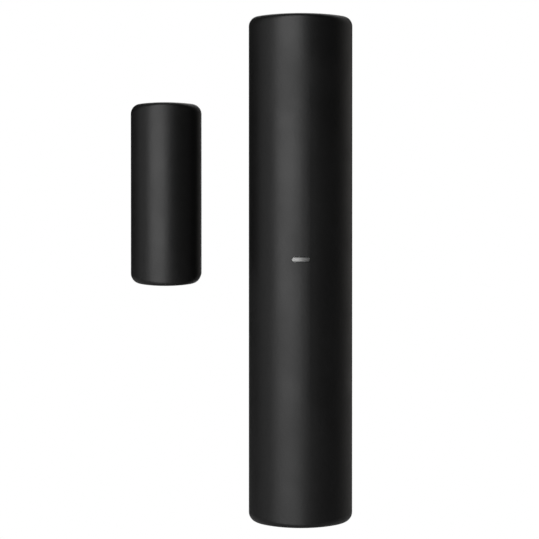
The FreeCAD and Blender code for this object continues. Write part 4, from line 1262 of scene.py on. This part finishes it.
@dataclass
class DetectorShell(SubAssembly):
    """The detector's housing, rear cover, screws, label and light window."""

    ridge_width: float = 0.3
    ridge_rise: float = 0.08
    ridge_sunk: float = 0.05
    label_margin: float = 0.35
    label_corner: float = 0.9
    mouth_height: float = 3.2
    mouth_width: float = 5.2
    mouth_gap: float = 0.1
    mouth_corner: float = 0.25
    mark_offset: float = 1.3
    mark_length: float = 1.1
    mark_width: float = 0.26
    window_width: float = 3.34
    window_height: float = 0.94
    window_flat: float = 0.01
    window_slices: int = 16
    window_skin: float = 0.02
    nodes: dict[str, Finish] = field(
        default_factory=lambda: {
            "front_housing": Finish.HOUSING,
            "rear_cover": Finish.BACK,
            "cover_screws": Finish.STEEL,
            "rear_label": Finish.LABEL,
            "light_pipe": Finish.PIPE,
        }
    )

    def ridge(self) -> list[tuple[float, float]]:
        """The section of a moulded ridge: sunk foot, sloping sides and a narrow top.

        Returns:
            Its points as offset across it and rise.
        """
        slope = self.ridge_width / 4
        across = (0.0, slope, self.ridge_width - slope, self.ridge_width)
        return list(zip(across, (-self.ridge_sunk, self.ridge_rise, self.ridge_rise, -self.ridge_sunk)))

    def _window_face(self) -> None:
        """Lays the silvered oval on the light pipe's end, curved as the housing is."""
        pipe, shell = Room.of("light_pipe"), Room.of("front_housing")
        axis = shell.low.y + shell.size.x / 2
        centre = Vector((pipe.middle.x, pipe.low.y, pipe.middle.z))
        corner = self.window_height / 2 - self.window_flat
        face = Sculpt()
        face.sheet(centre, self.window_width, self.window_height, corner, 2 * ROUND_STEPS)
        for number in range(1, self.window_slices):
            x = pipe.middle.x + self.window_width * (number / self.window_slices - 0.5)
            face.cut(Vector((x, 0.0, 0.0)), Axis.X.vector)
        outer = face.raise_faces()
        for vert in face.mesh.verts:
            reach = axis - pipe.low.y + (self.window_skin if vert in outer else -self.window_skin)
            vert.co.y = axis - math.sqrt(reach**2 - vert.co.x**2)
        face.release("light_window_face", Finish.WINDOW, self.body, "clear_plastic")

    def detail(self) -> None:
        """Adds the window's face, and the moulded ridges and marks on the rear cover."""
        self._window_face()
        label, socket = Room.of("rear_label"), Room.of("terminal_socket")
        back, margin = label.low.y, 2 * self.label_margin
        middle = Vector((0.0, back, socket.middle.z))
        self.ring(
            "label_ridge", Finish.BACK, "black_plastic", Vector((label.middle.x, back, label.middle.z)),
            (label.size.x + margin, label.size.z + margin), self.label_corner, self.ridge(),
        )
        mouth = (self.mouth_width + self.mouth_gap, self.mouth_height + self.mouth_gap)
        self.ring(
            "terminal_mouth_ridge", Finish.BACK, "black_plastic", middle, mouth, self.mouth_corner, self.ridge(),
        )
        marks = Sculpt()
        for side in (-1, 1):
            centre = middle + Axis.X.vector * side * (self.mouth_width / 2 + self.mark_offset)
            self._bar(marks, centre, self.mark_length, self.mark_width)
            if side > 0:
                self._bar(marks, centre, self.mark_width, self.mark_length)
        marks.release("terminal_marks", Finish.BACK, self.body, "black_plastic")

    def _bar(self, sculpt: Sculpt, centre: Vector, width: float, height: float) -> None:
        """Adds one raised bar of a polarity mark.

        Args:
            sculpt: The mesh to add it to.
            centre: The bar's middle.
            width: Its size along X.
            height: Its size along Z.
        """
        reach = Vector((width / 2, 0.0, height / 2))
        low, high = centre - reach, centre + reach
        low.y, high.y = centre.y - self.ridge_sunk, centre.y + self.ridge_rise
        sculpt.slab(low, high, corner=0.08, rim=0.02)


@dataclass
class SignalBoard(SubAssembly):
    """The circuit board with its chips, shield, antenna and solder."""

    cap_share: float = 0.24
    cap_thickness: float = 0.03
    cap_rim: float = 0.04
    fillet_reach: float = 0.26
    fillet_rise: float = 0.28
    fillet_side: float = 0.05
    fillet_under: float = 0.3
    fillet_top: float = 0.04
    shield_corner: float = 0.5
    bead_drop: float = 1.2
    bead_inset: tuple[float, float] = (2.6, 5.2)
    bead_corner: float = 0.7
    crystal_corner: float = 0.72
    coil_foot: float = 0.5
    mark_inset: float = 0.45
    mark_thickness: float = 0.02
    pad_radius: float = 0.4
    pad_places: tuple[float, ...] = (29.0, 31.0, 33.0, 35.0)
    pad_x: float = -6.75
    lead_count: int = 6
    lead_pitch: float = 0.8
    lead_width: float = 0.3
    nodes: dict[str, Finish] = field(
        default_factory=lambda: {
            "circuit_board": Finish.BOARD,
            "status_led": Finish.DIODE,
            "microcontroller": Finish.CONTROLLER,
            "radio_shield": Finish.TIN,
            "radio_chip": Finish.CHIP,
            "antenna_coil": Finish.COPPER,
            "reservoir_capacitor": Finish.ALUMINIUM,
            "capacitor_base": Finish.CHIP,
            "crystal_can": Finish.TIN,
            "chip_parts": Finish.CERAMIC,
        }
    )

    def detail(self) -> None:
        """Adds the solder, end caps, pads and pressed details."""
        self._end_caps("chip_end_caps", separate_rooms("chip_parts"))
        self._end_caps("status_light_caps", [Room.of("status_led")])
        self._controller_solder()
        self._shield()
        self._crystal_rim()
        self._antenna_feet()
        self._test_pads()
        self._capacitor_mark()
        self._status_lens()

    def _on_face(self, room: Room) -> Vector:
        """The middle of a node's foot on the board's front face."""
        return Vector((room.middle.x, Room.of("circuit_board").low.y, room.middle.z))

    def _end_caps(self, name: str, rooms: list[Room]) -> None:
        """Plates both ends of each small part.

        Args:
            name: The new piece's name.
            rooms: The parts' boxes.
        """
        caps, board = Sculpt(), Room.of("circuit_board")
        skin = self.cap_thickness
        for room in rooms:
            long = 0 if room.size.x > room.size.z else 2
            share = room.size[long] * self.cap_share
            for end in (-1, 1):
                low, high = room.low - Vector((skin, 0.0, skin)), room.high + Vector((skin, 0.0, skin))
                if room.middle.y < board.middle.y:
                    low.y -= skin
                    high.y = board.low.y
                else:
                    high.y += skin
                    low.y = board.high.y
                if end < 0:
                    high[long] = low[long] + share
                else:
                    low[long] = high[long] - share
                caps.slab(low, high, rim=self.cap_rim)
        caps.release(name, Finish.SOLDER, self.body, "bright_can")

    def _controller_solder(self) -> None:
        """Puts a sloping fillet of solder at the toe of each chip lead."""
        room = Room.of("microcontroller")
        foot, solder = self._on_face(room), Sculpt()
        half = self.lead_width / 2 + self.fillet_side
        reach = room.size.x / 2
        for number in range(self.lead_count):
            offset = (number - (self.lead_count - 1) / 2) * self.lead_pitch
            for quarter in range(4):
                turn = Matrix.Rotation(quarter * math.pi / 2, 4, "Y")
                low = Vector((reach - self.fillet_under, -self.fillet_rise, offset - half))
                high = Vector((reach + self.fillet_reach, 0.0, offset + half))
                verts = solder.slab(low, high)
                for vert in verts:
                    if vert.co.x > reach and vert.co.y < -self.fillet_rise / 2:
                        vert.co.x, vert.co.y = reach + self.fillet_top, -self.fillet_rise * 0.8
                bmesh.ops.transform(solder.mesh, verts=verts, matrix=turn)
                bmesh.ops.translate(solder.mesh, verts=verts, vec=foot)
        solder.release("controller_solder", Finish.SOLDER, self.body, "bright_can")

    def _shield(self) -> None:
        """Adds the solder round the shield's foot and the bead pressed in its lid."""
        room = Room.of("radio_shield")
        section = [(-0.1, 0.0), (-0.1, -self.fillet_rise), (0.02, -self.fillet_rise), (self.fillet_reach, 0.0)]
        outline = (room.size.x, room.size.z)
        self.ring(
            "shield_solder", Finish.SOLDER, "bright_can", self._on_face(room), outline, self.shield_corner, section,
        )
        lid = Vector((room.middle.x, room.low.y, room.middle.z - self.bead_drop))
        inner = (room.size.x - self.bead_inset[0], room.size.z - self.bead_inset[1])
        arch = [(0.0, 0.02), (0.1, -0.07), (0.22, -0.1), (0.34, -0.07), (0.44, 0.02)]
        self.ring("shield_bead", Finish.TIN, "bright_can", lid, inner, self.bead_corner, arch)

    def _crystal_rim(self) -> None:
        """Adds the welded rim round the crystal's foot."""
        room = Room.of("crystal_can")
        section = [(-0.1, 0.0), (-0.1, -0.22), (0.2, -0.22), (0.24, -0.18), (0.24, 0.0)]
        outline = (room.size.x, room.size.z)
        place = self._on_face(room)
        self.ring("crystal_rim", Finish.TIN, "bright_can", place, outline, self.crystal_corner, section)

    def _antenna_feet(self) -> None:
        """Solders both ends of the antenna coil to the board."""
        room = Room.of("antenna_coil")
        dome = [(0.0, -0.34), (0.3, -0.3), (0.52, -0.16), (0.66, -0.03), (0.9, -0.02), (0.9, 0.0), (0.0, 0.0)]
        foot, reach = self._on_face(room), Axis.Z.vector * (room.size.z / 2 - self.coil_foot)
        self.lathe("antenna_solder", Finish.SOLDER, "bright_can", dome, [foot - reach, foot + reach])

    def _test_pads(self) -> None:
        """Adds a row of plated test pads."""
        face, radius = Room.of("circuit_board").low.y, self.pad_radius
        disc = [(0.0, -0.03), (radius - 0.08, -0.035), (radius - 0.02, -0.025), (radius, 0.0), (0.0, 0.0)]
        places = [Vector((self.pad_x, face, z)) for z in self.pad_places]
        self.lathe("test_pads", Finish.GOLD, "gold", disc, places)

    def _capacitor_mark(self) -> None:
        """Prints the dark half-moon on the capacitor's end."""
        room = Room.of("reservoir_capacitor")
        mark = Sculpt()
        centre = Vector((room.middle.x, room.low.y, room.middle.z))
        radius = room.size.x / 2 - self.mark_inset
        bmesh.ops.create_circle(mark.mesh, cap_ends=True, segments=48, radius=radius, matrix=facing_y(centre))
        mark.cut(centre - Axis.Z.vector * room.size.z * 0.18, Axis.Z.vector, drop_outer=True)
        bmesh.ops.translate(mark.mesh, verts=list(mark.raise_faces()), vec=(0.0, -self.mark_thickness, 0.0))
        mark.release("capacitor_mark", Finish.SYMBOL, self.body, "chip_black")

    def _status_lens(self) -> None:
        """Adds the low clear dome on the status light."""
        room = Room.of("status_led")
        dome = [(0.0, -0.07), (0.14, -0.06), (0.26, -0.03), (0.32, 0.0), (0.0, 0.0)]
        top = Vector((room.middle.x, room.low.y, room.middle.z))
        self.lathe("status_light_lens", Finish.SILICONE, "clear_plastic", dome, [top])


@dataclass
class ReedSwitch(SubAssembly):
    """The reed switch's glass tube and leads."""

    lead_radius: float = 0.25
    bead_radius: float = 0.5
    foot_inset: float = 0.25
    nodes: dict[str, Finish] = field(default_factory=lambda: {"reed_glass": Finish.GLASS, "reed_leads": Finish.TIN})

    def detail(self) -> None:
        """Adds the glass beads at the tube's ends and the solder at the leads' feet."""
        tube, leads, board = Room.of("reed_glass"), Room.of("reed_leads"), Room.of("circuit_board")
        beads, solder = Sculpt(), Sculpt()
        wire = self.lead_radius
        for end, z in ((-1, tube.low.z), (1, tube.high.z)):
            bead = [(wire, -0.1), (self.bead_radius, 0.0), (0.42, 0.22), (0.33, 0.4), (wire, 0.46)]
            centre = Vector((tube.middle.x, tube.middle.y, z))
            beads.turned([(r, rise * end) for r, rise in bead], centre, Axis.Z, closed=True)
        beads.release("reed_end_beads", Finish.BEAD, self.body, "glass")
        for z in (leads.low.z + self.foot_inset, leads.high.z - self.foot_inset):
            back = [(0.0, 0.52), (0.27, 0.5), (0.3, 0.34), (0.42, 0.16), (0.7, 0.03), (0.72, 0.0), (0.0, 0.0)]
            front = [(wire, -0.22), (0.34, -0.12), (0.6, -0.03), (0.62, 0.0), (wire, 0.0)]
            solder.turned(back, Vector((leads.middle.x, board.high.y, z)))
            solder.turned(front, Vector((leads.middle.x, board.low.y, z)), closed=True)
        solder.release("reed_solder", Finish.SOLDER, self.body, "bright_can")


@dataclass
class SwitchGroup(SubAssembly):
    """The tamper switch with its plunger and spring, the power switch with its button, and the terminal."""

    leg_reach: float = 0.6
    leg_width: float = 0.8
    leg_metal: float = 0.14
    leg_rise: float = 0.7
    leg_rim: float = 0.03
    rivet_inset: float = 0.55
    button_rise: float = 0.5
    ring_radius: float = 0.78
    symbol_width: float = 0.2
    symbol_rise: float = 0.04
    symbol_gap: float = math.radians(70.0)
    nodes: dict[str, Finish] = field(
        default_factory=lambda: {
            "tamper_switch": Finish.CHIP,
            "tamper_spring": Finish.GOLD,
            "tamper_plunger": Finish.NATURAL,
            "power_switch": Finish.SWITCH,
            "power_button": Finish.NATURAL,
            "terminal_socket": Finish.TERMINAL,
            "terminal_clips": Finish.GOLD,
        }
    )

    def detail(self) -> None:
        """Adds the switches' legs, the cover plate's rivets, the button's symbol and the terminal's lips."""
        self._legs()
        self._rivets()
        self._symbol()
        self._lips()

    def _legs(self) -> None:
        """Adds four bent metal legs to each switch."""
        face = Room.of("circuit_board").high.y
        legs = Sculpt()
        for room in (Room.of("tamper_switch"), Room.of("power_switch")):
            for side, end in CORNERS:
                edge = room.middle.x + side * room.size.x / 2
                z = room.middle.z + end * room.size.z * 0.3
                foot, stem = (self.leg_reach, self.leg_metal, 0.06), (self.leg_metal, self.leg_rise, 0.0)
                for reach, rise, corner in (foot, stem):
                    near, far = edge - side * 0.02, edge + side * reach
                    low = Vector((min(near, far), face, z - self.leg_width / 2))
                    high = Vector((max(near, far), face + rise, z + self.leg_width / 2))
                    legs.slab(low, high, corner=corner, rim=self.leg_rim)
        legs.release("switch_legs", Finish.TIN, self.body, "steel")

    def _rivets(self) -> None:
        """Adds the four moulded rivets and the ring on the power switch's cover plate."""
        room = Room.of("power_switch")
        plate = room.high.y - self.button_rise
        rivets = Sculpt()
        reach = room.size.x / 2 - self.rivet_inset
        head = [(0.0, 0.16), (0.14, 0.14), (0.24, 0.08), (0.28, 0.0), (0.0, 0.0)]
        for side, end in CORNERS:
            centre = Vector((room.middle.x + side * reach, plate, room.middle.z + end * reach))
            rivets.turned(head, centre, steps=16)
        ring = [(1.12, 0.0), (1.14, 0.08), (1.2, 0.1), (1.28, 0.08), (1.3, 0.0)]
        rivets.turned(ring, Vector((room.middle.x, plate, room.middle.z)), closed=True, steps=32)
        rivets.release("power_switch_rivets", Finish.CHIP, self.body, "chip_black")

    def _symbol(self) -> None:
        """Raises a plain on-off symbol on the button: an open ring and a bar."""
        room = Room.of("power_button")
        symbol = Sculpt()
        centre = Vector((room.middle.x, room.high.y, room.middle.z))
        half = self.symbol_width / 2
        turn, flat = Matrix.Rotation(self.symbol_gap / 2, 4, "Y"), Matrix.Rotation(math.pi / 2, 4, "Y")
        matrix = Matrix.Translation(centre) @ turn @ Matrix.Translation(Axis.Z.vector * self.ring_radius) @ flat
        section = matrix @ Matrix.Diagonal((half, self.symbol_rise, 1.0, 1.0))
        made = bmesh.ops.create_grid(symbol.mesh, x_segments=1, y_segments=1, size=1.0, matrix=section)
        geometry = list(made["verts"]) + list(symbol.mesh.edges) + list(symbol.mesh.faces)
        bmesh.ops.spin(
            symbol.mesh, geom=geometry, cent=centre, axis=(0.0, 1.0, 0.0), angle=math.tau - self.symbol_gap,
            steps=28, use_merge=False, use_duplicate=False,
        )
        low = centre + Vector((-half, -self.symbol_rise, 0.1))
        high = centre + Vector((half, self.symbol_rise, self.ring_radius + 0.1))
        symbol.slab(low, high, corner=0.06)
        symbol.release("button_symbol", Finish.SYMBOL, "power_button", "grey_plastic")

    def _lips(self) -> None:
        """Adds a sloping lip round each wire hole of the terminal."""
        face = Room.of("terminal_socket").high.y
        lip = [(0.8, -0.2), (0.8, 0.0), (0.92, 0.07), (1.06, 0.07), (1.12, -0.02)]
        holes = [Vector((room.middle.x, face, room.middle.z)) for room in separate_rooms("terminal_clips")]
        self.lathe("terminal_lips", Finish.TERMINAL, "terminal_green", lip, holes, closed=True, steps=32)


@dataclass
class BatteryPack(SubAssembly):
    """The cell, its cradle and its spring contacts."""

    cap_radius: float = 3.2
    cap_height: float = 1.3
    washer_gap: float = 0.15
    washer_width: float = 3.4
    plate_thickness: float = 0.3
    solder_x: float = 6.9
    solder_height: float = 2.5
    nodes: dict[str, Finish] = field(
        default_factory=lambda: {
            "battery_cradle": Finish.GREY,
            "battery_can": Finish.STEEL,
            "battery_core": Finish.CELL,
            "battery_sleeve": Finish.SLEEVE,
            "positive_contact": Finish.GOLD,
            "negative_contact": Finish.GOLD,
            "battery_spring": Finish.GOLD,
        }
    )

    def detail(self) -> None:
        """Adds the washer round the cell's cap, the spring's rivet and the solder on the strips."""
        can, negative, board = Room.of("battery_can"), Room.of("negative_contact"), Room.of("circuit_board")
        shoulder = Vector((can.middle.x, can.middle.y, can.high.z - self.cap_height))
        inner, outer = self.cap_radius + self.washer_gap, self.cap_radius + self.washer_width
        section = [(inner, 0.0), (inner, 0.16), (inner + 0.08, 0.2)]
        section += [(outer - 0.1, 0.2), (outer, 0.14), (outer, 0.0)]
        self.lathe(
            "battery_washer", Finish.INSULATOR, "natural_plastic", section, [shoulder], axis=Axis.Z, steps=64,
            closed=True,
        )
        plate = Vector((can.middle.x, can.middle.y, negative.low.z + self.plate_thickness))
        head = [(0.0, 0.5), (0.5, 0.46), (0.95, 0.34), (1.2, 0.14), (1.25, 0.0), (0.0, 0.0)]
        self.lathe("spring_rivet", Finish.GOLD, "gold", head, [plate], axis=Axis.Z, steps=32)
        dome = [(0.0, 0.5), (0.3, 0.46), (0.6, 0.3), (0.78, 0.1), (0.82, 0.0), (0.0, 0.0)]
        rise = board.low.z + self.solder_height
        places = [Vector((side * self.solder_x, board.high.y, rise)) for side in (-1, 1)]
        self.lathe("strip_solder", Finish.SOLDER, "bright_can", dome, places)


@dataclass
class FrameBracket(SubAssembly):
    """The bracket on the door frame and its tape."""

    body: str = "frame_bracket"
    ridge_count: int = 4
    ridge_start: float = 2.2
    ridge_half: float = 0.16
    ridge_reach: float = 1.6
    ridge_sunk: float = 0.05
    ridge_rim: float = 0.1
    ridge_pitch: float = 0.8
    ridge_height: float = 0.3
    finger_back: float = -1.1
    nodes: dict[str, Finish] = field(
        default_factory=lambda: {"frame_bracket": Finish.BACK, "mounting_tape": Finish.TAPE}
    )

    def detail(self) -> None:
        """Adds the grip ridges on the back of the springy finger."""
        bottom = Room.of("frame_bracket").low.z + self.ridge_start
        ridges = Sculpt()
        for number in range(self.ridge_count):
            z = bottom + number * self.ridge_pitch
            low = Vector((-self.ridge_reach, self.finger_back - self.ridge_sunk, z - self.ridge_half))
            high = Vector((self.ridge_reach, self.finger_back + self.ridge_height, z + self.ridge_half))
            ridges.slab(low, high, rim=self.ridge_rim)
        ridges.release("finger_ridges", Finish.BACK, self.body, "black_plastic")


@dataclass
class DoorBracket(SubAssembly):
    """The small bracket on the door and its tape."""

    body: str = "door_bracket"
    nodes: dict[str, Finish] = field(
        default_factory=lambda: {"magnet_bracket": Finish.BACK, "magnet_tape": Finish.TAPE}
    )


@dataclass
class MagnetUnit(SubAssembly):
    """The magnet's housing, cover, screw, bar and foam."""

    body: str = "magnet_unit"
    dot_radius: float = 1.1
    dot_inset: float = 3.0
    nodes: dict[str, Finish] = field(
        default_factory=lambda: {
            "magnet_housing": Finish.HOUSING,
            "magnet_cover": Finish.BACK,
            "magnet_cover_screw": Finish.STEEL,
            "bar_magnet": Finish.NICKEL,
            "magnet_foam": Finish.FOAM,
        }
    )

    def detail(self) -> None:
        """Adds the painted dot on the magnet's upper pole."""
        bar = Room.of("bar_magnet")
        radius = self.dot_radius
        drop = [(0.0, -0.06), (radius * 0.6, -0.055), (radius * 0.9, -0.035), (radius, 0.0), (0.0, 0.0)]
        place = Vector((bar.middle.x, bar.low.y, bar.high.z - self.dot_inset))
        self.lathe("magnet_pole_dot", Finish.POLE, "magnet", drop, [place], steps=32)


def main() -> None:
    """Builds the studio and every sub-assembly in order."""
    logging.basicConfig(level=logging.INFO, format="%(message)s")
    Studio().build()
    groups: tuple[SubAssembly, ...] = (
        DetectorShell(), SignalBoard(), ReedSwitch(), SwitchGroup(), BatteryPack(), FrameBracket(), DoorBracket(),
        MagnetUnit(),
    )
    for group in groups:
        group.dress()
        group.detail()


if __name__ == "__main__":
    main()
